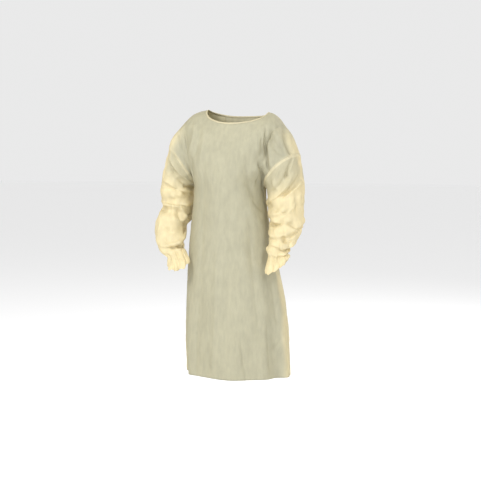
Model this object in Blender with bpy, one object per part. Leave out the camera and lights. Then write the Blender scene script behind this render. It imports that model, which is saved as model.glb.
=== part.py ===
"""Isolation gown in the shape it takes when worn: a hollow cloth shell in metres, +Z up, facing -Y.

The origin is midway between the shoulders, at the height where the gown hangs from them. +X is the
gown's own left. Every panel is a wall of one thickness, built on a sheet of points through its middle.
"""

import math
from collections import namedtuple

import bpy
import numpy as np

# Driving sizes of the cloth, in metres
WALL = 0.0015
SEAM_GAP = 0.0003
LAYER = 0.0022          # from the middle of one layer to the middle of the next
SHARPEST = 0.50         # limits how far a crease's corner stands out
LENGTH = 1.150          # shoulder to hem at the centre front
NECK_HALF_WIDTH = 0.141
NECK_SHIFT = 0.025      # the wide neck has slipped towards the gown's left
NECK_FRONT_DROP = 0.062
NECK_FRONT_REACH = 0.088
NECK_BACK_DROP = 0.030
NECK_BACK_REACH = 0.078
NECK_LEFT_LOWER = 0.014  # and lies lower on that side
NECK_POINT_BACK = 0.004
NECK_REACH_ROUND = 0.8  # powers of a cosine that shape the neckline, from above and from the front
NECK_DROP_ROUND = 1.1
NECK_SHARE_LEANT = 0.5  # share of the way down over which the panels lean back to the neckline
NECK_FLARE = 0.022      # how far the columns lean outwards beside the neck
NECK_FLARE_WIDTH = 0.16
UNDERARM_DROP = 0.335
SHOULDER_SHARE = 0.45   # share of the way to the underarm over which the cloth turns over the shoulder
FAN_AT_NECK = 0.85      # share of that way over which the columns spread out to the top edge
FAN_AT_CREASE = 0.55
UNDERARM_POINT = 0.014  # how far the seam dips to a point at the underarm
UNDERARM_POINT_WIDTH = 20    # degrees round the seam
BINDING_WIDTH = 0.005

# The cap beside each sleeve, as shares of its span: how it leaves the valley and reaches the seam
CAP_LEAVES = (0.75, 0.85, -0.25)
CAP_ARRIVES = (0.25, 0.10, -0.95)
CAP_FULL_TO = 0.80      # share of the way down where the cap's fullness ends
CAP_SETTLES_FROM = 0.70      # and where the cap starts to turn into the body's side

# The sleeves' gathers and ruffle
RUFFLE_WAVES = 8
RUFFLE_DEPTH = 0.0075
GATHER_DEPTH = 0.0025
GATHERS_FROM = 0.70     # share of the sleeve's length
GATHERS_GROW_OVER = 0.10
RUFFLE_TURN = 60        # degrees by which the waves are turned round the cuff
ELASTIC_ALONG = 0.85
FOLDS_START_BY = 0.10
INNER_LEAVES = (0.35, 0.0, 0.25)    # how the sleeve's inner side leaves the underarm, outwards and up
INNER_WIDTH = 40        # degrees
CLOSER_AT_SEAM = 0.55   # how much closer the rows lie at the seam

# The ties at the back and their knot
TIE_WIDTH = 0.016
TIE_DROP = 0.450        # the ties' height below the shoulder
TIE_TAIL = 0.220
TIE_SWING = 0.006
TIE_BEND = 0.8 * TIE_WIDTH
TIE_RIGHT_SEWN_AT = 0.028    # from the centre back towards the gown's left
TIE_LEFT_SEWN_AT = 0.125
TIE_KNOT_AT = 0.078
TIE_SPREAD = 0.7 * TIE_WIDTH     # half the distance between the tails
KNOT_WIDTH = 0.042
KNOT_HEIGHT = 1.5 * TIE_WIDTH
KNOT_DEPTH = 0.005
KNOT_NARROW_SHARE = 0.65     # of its top and bottom

# Flat colours that stand for the cloth
BODY_YELLOW = (0.78, 0.74, 0.55)
SLEEVE_YELLOW = (0.93, 0.87, 0.62)
EDGE_YELLOW = (0.93, 0.88, 0.68)
CLOTH_ROUGHNESS = 0.75

# How the sheets are divided
NECK_COLUMNS = 5
SHOULDER_COLUMNS = 4
CAP_COLUMNS = 4
OVERLAP_COLUMNS = 2
UPPER_ROWS = 16         # between the shoulder line and the underarm
LOWER_ROWS = 14         # between the underarm and the hem
SLEEVE_ROWS = 24
CUFF_FROM_ROW = 17       # the sleeve's gathered end below it is a solid of its own
TIE_STEPS = 3           # along its sewn part
TIE_BEND_STEPS = 4
TIE_TAIL_STEPS = 6
KNOT_STEPS = 3
HALF_COLUMNS = NECK_COLUMNS + SHOULDER_COLUMNS + CAP_COLUMNS
NECK_SHARE = NECK_COLUMNS / HALF_COLUMNS
CREASE_SHARE = (NECK_COLUMNS + SHOULDER_COLUMNS) / HALF_COLUMNS
RING_POINTS = 2 * UPPER_ROWS

# The body below the sleeves: an oval at each height, z below the shoulder
Section = namedtuple("Section", "z half_width front back shift")
BODY = (
    Section(-0.05, 0.165, 0.088, 0.085, 0.000),
    Section(-0.12, 0.163, 0.118, 0.105, -0.004),
    Section(-0.22, 0.160, 0.143, 0.112, -0.008),
    Section(-0.33, 0.158, 0.150, 0.110, -0.010),
    Section(-0.43, 0.166, 0.147, 0.108, -0.010),
    Section(-0.53, 0.182, 0.150, 0.118, -0.006),
    Section(-0.66, 0.201, 0.163, 0.140, 0.002),
    Section(-0.80, 0.221, 0.174, 0.156, 0.014),
    Section(-0.97, 0.236, 0.182, 0.168, 0.023),
    Section(-1.20, 0.240, 0.190, 0.180, 0.030),
)

# Drape folds of the skirt: angle round the body from the centre front towards +X, in degrees
Drape = namedtuple("Drape", "angle width start depth")
DRAPES = (
    Drape(-62, 9, -0.62, -0.020),
    Drape(-47, 9, -0.70, 0.009),
    Drape(-20, 13, -0.80, -0.006),
    Drape(6, 12, -0.72, 0.010),
    Drape(33, 13, -0.78, -0.007),
    Drape(61, 8, -0.52, -0.015),
    Drape(76, 7, -0.50, 0.012),
    Drape(108, 11, -0.58, -0.016),
    Drape(133, 12, -0.55, 0.014),
    Drape(156, 10, -0.60, -0.014),
    Drape(198, 11, -0.58, -0.013),
    Drape(222, 11, -0.56, 0.014),
    Drape(246, 11, -0.60, -0.017),
)

# The line over the shoulder from the neck to the sleeve's seam, for either side
Ridge = namedtuple("Ridge", "left right z")
RIDGE = (
    Ridge(0.188, -0.180, -0.020),
    Ridge(0.214, -0.206, -0.044),
    Ridge(0.238, -0.230, -0.072),
    Ridge(0.260, -0.252, -0.104),
    Ridge(0.280, -0.275, -0.142),
)

NECK_CORNER_RIGHT = (-0.150, 0.000, -0.007)

# The valley between chest and cap, at quarters of the way down to the underarm
Valley = namedtuple("Valley", "x front back z")

# One side of the gown: the sleeve's seam goes through its top, front and back points and the underarm
Side = namedtuple("Side", "sign seam_top seam_front seam_back valley")
LEFT = Side(
    1,
    (0.303, 0.000, -0.193),
    (0.226, -0.088, -0.238),
    (0.232, 0.088, -0.262),
    (
        Valley(0.178, -0.052, 0.050, -0.085),
        Valley(0.178, -0.068, 0.068, -0.160),
        Valley(0.166, -0.080, 0.078, -0.245),
    ),
)
RIGHT = Side(
    -1,
    (-0.272, -0.048, -0.158),
    (-0.222, -0.088, -0.205),
    (-0.246, 0.080, -0.262),
    (
        Valley(-0.184, -0.058, 0.050, -0.080),
        Valley(-0.180, -0.078, 0.068, -0.150),
        Valley(-0.168, -0.086, 0.078, -0.235),
    ),
)

# A sleeve below its seam: centre of each ring, its half sizes across and deep, and how far it tilts
Ring = namedtuple("Ring", "x y z across deep tilt nod")
LEFT_RINGS = (
    Ring(0.243, 0.000, -0.330, 0.083, 0.086, 28, 0),
    Ring(0.240, 0.002, -0.385, 0.081, 0.085, 16, 0),
    Ring(0.246, -0.004, -0.440, 0.075, 0.083, 6, 6),
    Ring(0.255, -0.030, -0.495, 0.070, 0.079, 0, 16),
    Ring(0.256, -0.052, -0.535, 0.066, 0.076, -4, 24),
    Ring(0.250, -0.064, -0.560, 0.058, 0.064, -6, 26),
    Ring(0.236, -0.078, -0.578, 0.042, 0.048, -6, 26),
    Ring(0.238, -0.086, -0.594, 0.049, 0.052, -6, 26),
    Ring(0.237, -0.094, -0.610, 0.037, 0.040, 0, 26),
    Ring(0.242, -0.103, -0.634, 0.048, 0.050, 14, 26),
    Ring(0.242, -0.111, -0.660, 0.050, 0.053, 28, 26),
)
RIGHT_RINGS = (
    Ring(-0.257, 0.000, -0.310, 0.074, 0.083, -24, 0),
    Ring(-0.259, 0.002, -0.375, 0.075, 0.084, -12, 0),
    Ring(-0.262, -0.004, -0.425, 0.071, 0.081, -4, 6),
    Ring(-0.272, -0.024, -0.475, 0.075, 0.082, 0, 14),
    Ring(-0.273, -0.044, -0.522, 0.073, 0.080, 4, 22),
    Ring(-0.264, -0.064, -0.556, 0.066, 0.070, 12, 28),
    Ring(-0.252, -0.080, -0.588, 0.055, 0.058, 18, 28),
    Ring(-0.240, -0.090, -0.604, 0.046, 0.048, 18, 28),
    Ring(-0.226, -0.107, -0.619, 0.037, 0.040, 16, 28),
    Ring(-0.207, -0.127, -0.644, 0.043, 0.046, 10, 28),
    Ring(-0.196, -0.144, -0.668, 0.045, 0.048, 4, 28),
)
RING_ALONG = (0.10, 0.24, 0.36, 0.48, 0.58, 0.66, 0.73, 0.79, ELASTIC_ALONG, 0.92, 1.00)

# Folds of a sleeve: middle of each, along it and round it in degrees (0 outside, 90 front, 180 inside)
Fold = namedtuple("Fold", "along around length width slant depth")
LEFT_FOLDS = (
    Fold(0.20, 95, 75, 0.050, 0.10, -0.010),
    Fold(0.31, 70, 80, 0.045, 0.10, 0.009),
    Fold(0.42, 150, 60, 0.035, -0.05, -0.011),
    Fold(0.50, 85, 95, 0.026, 0.05, 0.010),
    Fold(0.555, 85, 95, 0.026, 0.05, -0.010),
    Fold(0.64, 60, 70, 0.030, -0.04, 0.008),
    Fold(0.36, 260, 80, 0.045, 0.06, -0.010),
    Fold(0.50, 285, 70, 0.040, -0.06, 0.009),
    Fold(0.60, 250, 80, 0.035, 0.04, -0.008),
)
RIGHT_FOLDS = (
    Fold(0.17, 90, 70, 0.045, -0.10, 0.008),
    Fold(0.25, 120, 75, 0.030, -0.06, -0.010),
    Fold(0.31, 125, 75, 0.028, -0.03, 0.010),
    Fold(0.37, 60, 85, 0.034, 0.04, -0.010),
    Fold(0.44, 110, 80, 0.034, 0.06, 0.008),
    Fold(0.56, 150, 50, 0.050, 0.02, -0.010),
    Fold(0.68, 130, 70, 0.024, 0.05, 0.009),
    Fold(0.72, 130, 70, 0.024, 0.05, -0.008),
    Fold(0.30, 270, 80, 0.045, 0.06, -0.010),
    Fold(0.46, 250, 70, 0.045, -0.06, 0.009),
    Fold(0.60, 280, 80, 0.035, 0.04, -0.008),
)


def smooth_through(knots, values, at, bend=0.0):
    """The values at a place on a smooth curve through a table's rows; bend turns the way it starts."""
    knots = np.asarray(knots, float)
    values = np.asarray(values, float)
    slopes = np.gradient(values, knots, axis=0)
    slopes[0] += bend
    at = min(max(at, knots[0]), knots[-1])
    i = min(max(int(np.searchsorted(knots, at)) - 1, 0), len(knots) - 2)
    step = knots[i + 1] - knots[i]
    q = (at - knots[i]) / step
    rise = q * q * (3 - 2 * q)
    return (
        values[i] * (1 - rise)
        + values[i + 1] * rise
        + slopes[i] * step * q * (1 - q) ** 2
        - slopes[i + 1] * step * q * q * (1 - q)
    )


def ease(value):
    """0 below 0, 1 above 1, smooth between."""
    value = min(max(value, 0.0), 1.0)
    return value * value * (3 - 2 * value)


def hump(distance):
    """1 at 0, falling smoothly to nearly 0 at a distance of 2."""
    return math.exp(-distance * distance)


def body_section(z):
    down = [-s.z for s in BODY]
    return Section(z, *smooth_through(down, [s[1:] for s in BODY], -z))


def drape_at(angle, z):
    """How far the skirt's folds move the cloth outwards there."""
    out = 0.0
    for fold in DRAPES:
        away = (angle - fold.angle + 180) % 360 - 180
        grow = ease((fold.start - z) / (LENGTH + fold.start))
        out += fold.depth * grow * hump(away / fold.width)
    return out


def torso(face, sign, share, z):
    """A point of the body's oval: share 0 at the centre of the front or back, 1 at the side seam."""
    section = body_section(z)
    turn = math.radians(90 * share)
    angle = 90 * share * sign if face == "front" else 180 - 90 * share * sign
    reach = section.front if face == "front" else section.back
    facing = -1 if face == "front" else 1
    out = drape_at(angle, z)
    return np.array((
        section.shift + sign * (section.half_width + out) * math.sin(turn),
        facing * (reach + out) * math.cos(turn),
        z,
    ))


def underarm(side):
    return torso("front", side.sign, 1.0, -UNDERARM_DROP)


def seam_ring(side, turn):
    """The sleeve's seam: turn 0 at the top, 90 in front, 180 at the underarm, 270 behind."""
    top, front, back = (np.array(p) for p in side[1:4])
    point_down = np.array((0.0, 0.0, -UNDERARM_POINT))
    under = underarm(side) - point_down
    pointed = math.exp(-abs(turn - 180) / UNDERARM_POINT_WIDTH)
    turn = math.radians(turn)
    middle = (top + under + front + back) / 4
    squareness = ((top + under) - (front + back)) / 4
    return (
        middle
        + (top - under) / 2 * math.cos(turn)
        + (front - back) / 2 * math.sin(turn)
        + squareness * math.cos(2 * turn)
        + point_down * pointed
    )


def neck_point(sign):
    """Where the neckline meets the shoulder line."""
    lower = NECK_LEFT_LOWER if sign > 0 else 0.0
    return np.array((NECK_SHIFT + sign * NECK_HALF_WIDTH, NECK_POINT_BACK, -lower))


def shoulder_line(side, share):
    """The ridge where front and back panels meet: share 0 at the neck, 1 at the sleeve's seam."""
    start, end = neck_point(side.sign), np.array(side.seam_top)
    points = [start]
    for i, r in enumerate(RIDGE):
        depth = end[1] * (i + 1) / (len(RIDGE) + 1)
        points.append(np.array((r.left if side.sign > 0 else r.right, depth, r.z)))
    if side is RIGHT:
        points = [start, np.array(NECK_CORNER_RIGHT), *points[1:-1]]
    points.append(end)
    along = np.cumsum([0.0] + [np.linalg.norm(b - a) for a, b in zip(points, points[1:])])
    return smooth_through(along / along[-1], points, share)


def top_edge(face, side, share):
    """The panel's top: the neckline from the centre to the neck point, then the shoulder line."""
    if share > NECK_SHARE:
        return shoulder_line(side, (share - NECK_SHARE) / (1 - NECK_SHARE))
    turn = math.radians(90 * share / NECK_SHARE)
    drop, reach = (
        (NECK_FRONT_DROP, -NECK_FRONT_REACH) if face == "front" else (NECK_BACK_DROP, NECK_BACK_REACH)
    )
    end = neck_point(side.sign)
    return np.array((
        NECK_SHIFT + (end[0] - NECK_SHIFT) * math.sin(turn),
        end[1] + (reach - end[1]) * max(math.cos(turn), 0.0) ** NECK_REACH_ROUND,
        end[2] * math.sin(turn) ** 2 - drop * max(math.cos(turn), 0.0) ** NECK_DROP_ROUND,
    ))


def valley_point(face, side, down):
    """The valley between body and cap: down 0 on the shoulder line, 1 level with the underarm."""
    start = top_edge(face, side, CREASE_SHARE)
    start[0] = side.valley[0].x
    end = torso(face, side.sign, CREASE_SHARE, -UNDERARM_DROP)
    rows = [start]
    for v in side.valley:
        rows.append(np.array((v.x, v.front if face == "front" else v.back, v.z)))
    rows.append(end)
    step = 1 / (len(rows) - 1)
    rows.append(torso(face, side.sign, CREASE_SHARE, -UNDERARM_DROP * (1 + step)))
    return smooth_through(np.linspace(0, 1 + step, len(rows)), rows, down)


def chest_arc(face, side, share, down):
    """A row across the body from its centre to the valley."""
    drop = NECK_FRONT_DROP if face == "front" else NECK_BACK_DROP
    z = -drop - (UNDERARM_DROP - drop) * down
    middle = torso(face, side.sign, 0.0, z)
    if down < NECK_SHARE_LEANT:
        lean = 1 - ease(down / NECK_SHARE_LEANT)
        edge = top_edge(face, side, 0.0)
        start = torso(face, side.sign, 0.0, -drop)
        middle = middle + (edge - start) * lean
    end = valley_point(face, side, down)
    turn, last = math.radians(90 * share), math.radians(90 * CREASE_SHARE)
    round_share = (1 - math.cos(turn)) / (1 - math.cos(last))
    across = math.sin(turn) / math.sin(last)
    return np.array((
        middle[0] + (end[0] - middle[0]) * across,
        middle[1] + (end[1] - middle[1]) * round_share,
        middle[2] + (end[2] - middle[2]) * (share / CREASE_SHARE) ** 2,
    ))


def cap_arc(face, side, share, down):
    """A row over the cap, from the valley to the sleeve's seam."""
    turn = 180 * down if face == "front" else 360 - 180 * down
    start, end = valley_point(face, side, down), seam_ring(side, turn)
    span = np.linalg.norm(end - start)
    facing = -1 if face == "front" else 1
    fullness = math.sin(math.pi * min(down / CAP_FULL_TO, 1.0))
    turned = np.array((side.sign, facing * fullness, 1.0))
    leave = np.array(CAP_LEAVES) * turned * span
    arrive = np.array(CAP_ARRIVES) * turned * span
    q = (share - CREASE_SHARE) / (1 - CREASE_SHARE)
    rise = q * q * (3 - 2 * q)
    curve = (
        start * (1 - rise) + end * rise + leave * q * (1 - q) ** 2 - arrive * q * q * (1 - q)
    )
    level = start[2] - (UNDERARM_DROP + start[2]) * q * q
    settled = torso(face, side.sign, share, level) + (end - underarm(side)) * q * q
    settle = ease((down - CAP_SETTLES_FROM) / (1 - CAP_SETTLES_FROM))
    return curve * (1 - settle) + settled * settle


def upper(face, side, share, down):
    """A point of a body panel above the underarm."""
    row = chest_arc if share <= CREASE_SHARE else cap_arc
    point = row(face, side, share, down)
    offset = top_edge(face, side, share) - row(face, side, share, 0.0)
    part = min(down / SHOULDER_SHARE, 1.0)
    slide = (1 - part) ** 2 * (1 + 2 * part)
    spread = ease((share - NECK_SHARE) / (CREASE_SHARE - NECK_SHARE))
    slip = min(down / (FAN_AT_NECK + (FAN_AT_CREASE - FAN_AT_NECK) * spread), 1.0)
    fan = (1 - slip) ** 2 * (1 + 2 * slip)
    at_neck = 1 - ease(share / NECK_SHARE)
    forward = slide * at_neck + (1 - part) ** 3 * (1 - at_neck)
    drop = slide * at_neck + (1 - part * part) ** 2 * (1 - at_neck)
    swell = 27 / 4 * part * (1 - part) ** 2 * hump((share - NECK_SHARE) / NECK_FLARE_WIDTH)
    point[0] += side.sign * NECK_FLARE * swell
    return point + offset * np.array((fan, forward, drop))


def panel_point(face, side, share, row):
    """A point of a body panel: row counts down from the top edge to the hem."""
    if row <= UPPER_ROWS:
        return upper(face, side, share, row / UPPER_ROWS)
    down = (row - UPPER_ROWS) / LOWER_ROWS
    return torso(face, side.sign, share, -UNDERARM_DROP - (LENGTH - UNDERARM_DROP) * down)


def sleeve_ring(rings, i, turn):
    """A point of one of the table's rings."""
    ring = rings[i]
    sign = 1 if ring.x > 0 else -1
    turn, tilt, nod = math.radians(turn), math.radians(ring.tilt), math.radians(ring.nod)
    across = sign * ring.across * math.cos(turn)
    deep = -ring.deep * math.sin(turn)
    return np.array((
        ring.x + across * math.cos(tilt),
        ring.y + deep * math.cos(nod),
        ring.z + across * math.sin(tilt) + deep * math.sin(nod),
    ))


def sleeve_point(side, rings, folds, along, turn):
    """A point of a sleeve: along 0 at its seam, 1 at the ruffle's edge; turn as in seam_ring."""
    rows = [seam_ring(side, turn)] + [sleeve_ring(rings, i, turn) for i in range(len(rings))]
    knots = (0.0, *RING_ALONG)
    leave = hump((turn - 180) / INNER_WIDTH) * np.array(INNER_LEAVES) * (side.sign, 1, 1)
    point = smooth_through(knots, rows, along, leave)
    seam_centre = np.mean([seam_ring(side, a) for a in (0, 90, 180, 270)], axis=0)
    centre = smooth_through(knots, [seam_centre] + [np.array(r[:3]) for r in rings], along)
    out = point - centre
    size = np.linalg.norm(out)
    out = out / size
    push = 0.0
    for fold in folds:
        away = (turn - fold.around + 180) % 360 - 180
        off = along - fold.along - fold.slant * away / 90
        push += fold.depth * hump(away / fold.length) * hump(off / fold.width)
    push *= ease(along / FOLDS_START_BY)
    gather = ease((along - GATHERS_FROM) / GATHERS_GROW_OVER)
    flare = ease((along - ELASTIC_ALONG) / (1 - ELASTIC_ALONG))
    wave = GATHER_DEPTH * gather + RUFFLE_DEPTH * flare
    push += wave * math.cos(math.radians(RUFFLE_WAVES * turn + RUFFLE_TURN * side.sign))
    return point + out * push


def corner(p):
    return tuple(int(round(float(c) * 1e5)) for c in p)


def shared_normals(sheets):
    """One outward step for each point, the same for the sheets that meet there, longer at a sharp crease."""
    faces = {}
    for grid, around in sheets.values():
        rows, columns = grid.shape[:2]
        for r in range(rows - 1):
            for c in range(columns if around else columns - 1):
                d = (c + 1) % columns
                quad = [grid[r, c], grid[r, d], grid[r + 1, d], grid[r + 1, c]]
                normal = np.cross(quad[2] - quad[0], quad[3] - quad[1])
                size = np.linalg.norm(normal)
                for p in quad:
                    faces.setdefault(corner(p), []).append(normal / size)
    steps = {}
    for key, found in faces.items():
        unit = sum(found) / np.linalg.norm(sum(found))
        lean = min(float(unit @ n) for n in found)
        steps[key] = unit / max(lean, SHARPEST)
    return steps


def pull_in(grid, steps, around, seams):
    """The sheet with its sewn edges moved back by half the gap at a seam."""
    moved = grid.copy()
    edges = {
        "top": (np.s_[0], np.s_[1]),
        "bottom": (np.s_[-1], np.s_[-2]),
        "first": (np.s_[:, 0], np.s_[:, 1]),
        "last": (np.s_[:, -1], np.s_[:, -2]),
    }
    for name in seams:
        edge, inner = edges[name]
        line = grid[edge]
        along = np.roll(line, -1, 0) - np.roll(line, 1, 0) if around else np.gradient(line, axis=0)
        across = np.cross(along, steps[edge])
        across /= np.linalg.norm(across, axis=-1, keepdims=True)
        side = np.sign(np.sum(across * (grid[inner] - line), axis=-1, keepdims=True))
        moved[edge] += across * side * SEAM_GAP / 2
    return moved


def wall(name, grid, normals, around, seams, colour, thickness=WALL, lift=0.0):
    """A closed cloth wall on both sides of a sheet of points; lift moves it out, column by column."""
    directions = np.array([[normals[corner(p)] for p in row] for row in grid])
    middle = pull_in(grid, directions, around, seams) + directions * np.reshape(lift, (1, -1, 1))
    rows, columns = grid.shape[:2]
    outer = (middle + directions * thickness / 2).reshape(-1, 3)
    inner = (middle - directions * thickness / 2).reshape(-1, 3)
    count = rows * columns
    flat = grid.reshape(-1, 3)
    faces = []
    last = columns if around else columns - 1
    for r in range(rows - 1):
        for c in range(last):
            d = (c + 1) % columns
            a, b, e, f = r * columns + c, r * columns + d, (r + 1) * columns + d, (r + 1) * columns + c
            if np.linalg.norm(flat[a] - flat[e]) < np.linalg.norm(flat[b] - flat[f]):
                halves = ((a, b, e), (a, e, f))
            else:
                halves = ((a, b, f), (b, e, f))
            faces += halves
            faces += [(z + count, y + count, x + count) for x, y, z in halves]
    cloth_faces = len(faces)
    rim = [(c, (c + 1) % columns) for c in range(last)]
    bottom = (rows - 1) * columns
    rim += [(bottom + b, bottom + a) for a, b in rim]
    if not around:
        down = [(r * columns, (r + 1) * columns) for r in range(rows - 1)]
        rim += [(b, a) for a, b in down]
        rim += [(a + columns - 1, b + columns - 1) for a, b in down]
    for a, b in rim:
        if corner(flat[a]) < corner(flat[b]):
            faces += [(a + count, b + count, a), (b + count, b, a)]
        else:
            faces += [(a + count, b + count, b), (a + count, b, a)]
    mesh = bpy.data.meshes.new(name)
    mesh.from_pydata(np.concatenate([outer, inner]).tolist(), [], faces)
    mesh.polygons.foreach_set("use_smooth", [k < cloth_faces for k in range(len(faces))])
    mesh.materials.append(colour)
    obj = bpy.data.objects.new(name, mesh)
    bpy.context.scene.collection.objects.link(obj)
    return obj


def cloth(name, colour):
    material = bpy.data.materials.new(name)
    material.use_nodes = True
    shader = material.node_tree.nodes["Principled BSDF"]
    shader.inputs["Base Color"].default_value = (*colour, 1)
    shader.inputs["Roughness"].default_value = CLOTH_ROUGHNESS
    shader.inputs["Metallic"].default_value = 0.0
    return material


def front_sheet():
    rows = []
    for row in range(UPPER_ROWS + LOWER_ROWS + 1):
        right = [panel_point("front", RIGHT, i / HALF_COLUMNS, row) for i in range(HALF_COLUMNS, 0, -1)]
        left = [panel_point("front", LEFT, i / HALF_COLUMNS, row) for i in range(0, HALF_COLUMNS + 1)]
        rows.append(right + left)
    return np.array(rows)[:, ::-1]


def back_sheet(side):
    """A back panel, from its side seam to past the centre back."""
    rows = []
    for row in range(UPPER_ROWS + LOWER_ROWS + 1):
        points = [panel_point("back", side, i / HALF_COLUMNS, row) for i in range(HALF_COLUMNS, -1, -1)]
        other = RIGHT if side is LEFT else LEFT
        points += [panel_point("back", other, i / HALF_COLUMNS, row) for i in range(1, OVERLAP_COLUMNS + 1)]
        rows.append(points)
    grid = np.array(rows)
    return grid if side.sign < 0 else grid[:, ::-1]


def sleeve_sheet(side, rings, folds):
    rows = []
    for r in range(SLEEVE_ROWS + 1):
        along = r / SLEEVE_ROWS
        along *= 1 - CLOSER_AT_SEAM * (1 - along) ** 3
        turns = [360 * c / RING_POINTS for c in range(RING_POINTS)]
        rows.append([sleeve_point(side, rings, folds, along, a) for a in turns])
    grid = np.array(rows)
    return grid if side.sign > 0 else grid[:, ::-1]


def binding_columns():
    """The panel columns round the neck, from the outer back panel's edge to the inner one's."""
    columns = [("back", LEFT, i) for i in range(OVERLAP_COLUMNS, 0, -1)]
    columns += [("back", RIGHT, i) for i in range(0, NECK_COLUMNS)]
    columns += [("front", RIGHT, i) for i in range(NECK_COLUMNS, 0, -1)]
    columns += [("front", LEFT, i) for i in range(0, NECK_COLUMNS)]
    columns += [("back", LEFT, i) for i in range(NECK_COLUMNS, 0, -1)]
    columns += [("back", RIGHT, i) for i in range(0, OVERLAP_COLUMNS + 1)]
    return columns


def binding_sheet(normals):
    """The neck binding: it carries the panels on upwards. Its points, outward steps and lifts."""
    columns = binding_columns()
    edge = np.array([panel_point(face, side, i / HALF_COLUMNS, 0) for face, side, i in columns])
    out = np.array([normals[corner(p)] for p in edge])
    up = np.cross(out, np.gradient(edge, axis=0))
    up *= BINDING_WIDTH * np.sign(up[:, 2:]) / np.linalg.norm(up, axis=1, keepdims=True)
    steps = {corner(p): n for row in (edge, edge + up) for p, n in zip(row, out)}
    lift = [LAYER if k < OVERLAP_COLUMNS else 0.0 for k in range(len(columns))]
    for i in range(NECK_COLUMNS):
        lift[OVERLAP_COLUMNS + i] = over_lift(i)
    return np.array((edge + up, edge))[:, ::-1], steps, lift[::-1]


def over_lift(i):
    """How far the right back panel is moved out at a column, counted from the centre."""
    return LAYER * ease((OVERLAP_COLUMNS + 2 - i) / 2)


def back_point(across, down):
    """A point of the back, so far from its centre towards +X and so far below the shoulder."""
    section = body_section(-down)
    away = across - section.shift
    share = math.asin(min(abs(away) / section.half_width, 1.0)) / math.radians(90)
    return torso("back", 1 if away > 0 else -1, share, -down)


def tie_sheet(sewn_at, corner_at):
    """A flat tie: from its sewn end along the back, round a corner, and down as a loose tail."""
    way = 1 if corner_at > sewn_at else -1
    turned = corner_at - way * TIE_BEND
    stations = [(sewn_at + (turned - sewn_at) * k / TIE_STEPS, TIE_DROP, 0.0) for k in range(TIE_STEPS)]
    for k in range(TIE_BEND_STEPS + 1):
        turn = math.radians(90 * k / TIE_BEND_STEPS)
        across = turned + way * TIE_BEND * math.sin(turn)
        stations.append((across, TIE_DROP + TIE_BEND * (1 - math.cos(turn)), turn))
    for k in range(1, TIE_TAIL_STEPS + 1):
        part = k / TIE_TAIL_STEPS
        across = corner_at - way * TIE_SWING * math.sin(math.pi * part)
        stations.append((across, TIE_DROP + TIE_BEND + TIE_TAIL * part, math.pi / 2))
    rows = []
    for across, down, turn in stations:
        side_step = way * math.sin(turn) * TIE_WIDTH / 2
        down_step = -math.cos(turn) * TIE_WIDTH / 2
        rows.append([
            back_point(across + side_step, down + down_step),
            back_point(across - side_step, down - down_step),
        ])
    grid = np.array(rows)
    return grid if way < 0 else grid[:, ::-1]


def knot_sheet():
    """The knot that holds both ties: a small rounded pad over the place where they turn down."""
    rows = []
    for k in range(KNOT_STEPS + 1):
        down = TIE_DROP - TIE_SPREAD + k / KNOT_STEPS * KNOT_HEIGHT
        width = KNOT_WIDTH * (KNOT_NARROW_SHARE if k in (0, KNOT_STEPS) else 1.0)
        across = [TIE_KNOT_AT + width * (1 / 2 - c / KNOT_STEPS) for c in range(KNOT_STEPS + 1)]
        rows.append([back_point(x, down) for x in across])
    return np.array(rows)[:, ::-1]


def build():
    for obj in list(bpy.data.objects):
        bpy.data.objects.remove(obj, do_unlink=True)
    body_cloth = cloth("body_cloth", BODY_YELLOW)
    sleeve_cloth = cloth("sleeve_cloth", SLEEVE_YELLOW)
    edge_cloth = cloth("edge_cloth", EDGE_YELLOW)
    sheets = {
        "front": (front_sheet(), False),
        "back_left": (back_sheet(LEFT), False),
        "back_right": (back_sheet(RIGHT), False),
        "sleeve_left": (sleeve_sheet(LEFT, LEFT_RINGS, LEFT_FOLDS), True),
        "sleeve_right": (sleeve_sheet(RIGHT, RIGHT_RINGS, RIGHT_FOLDS), True),
    }
    normals = shared_normals(sheets)
    sewn = ("top", "first", "last")
    wall("front", sheets["front"][0], normals, False, sewn, body_cloth)
    wall("back_left", sheets["back_left"][0], normals, False, sewn, body_cloth)
    lift = [over_lift(max(HALF_COLUMNS - c, 0)) for c in range(HALF_COLUMNS + OVERLAP_COLUMNS + 1)]
    wall("back_right", sheets["back_right"][0], normals, False, sewn, body_cloth, lift=lift)
    for side in ("left", "right"):
        grid = sheets[f"sleeve_{side}"][0]
        wall(f"sleeve_{side}", grid[:CUFF_FROM_ROW + 1], normals, True, ("top", "bottom"), sleeve_cloth)
        wall(f"cuff_{side}", grid[CUFF_FROM_ROW:], normals, True, ("top",), sleeve_cloth)
    grid, steps, lift = binding_sheet(normals)
    wall("neck_binding", grid, steps, False, ("bottom",), edge_cloth, lift=lift)
    ties = {
        "waist_tie_right": tie_sheet(TIE_RIGHT_SEWN_AT, TIE_KNOT_AT - TIE_SPREAD),
        "waist_tie_left": tie_sheet(TIE_LEFT_SEWN_AT, TIE_KNOT_AT + TIE_SPREAD),
    }
    for name, grid in ties.items():
        wall(name, grid, shared_normals({"": (grid, False)}), False, (), edge_cloth, lift=2 * LAYER)
    grid = knot_sheet()
    out = 2 * LAYER + WALL / 2 + SEAM_GAP + KNOT_DEPTH / 2
    wall("waist_knot", grid, shared_normals({"": (grid, False)}), False, (), edge_cloth, KNOT_DEPTH, out)


build()
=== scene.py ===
import math
from collections import namedtuple

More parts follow.
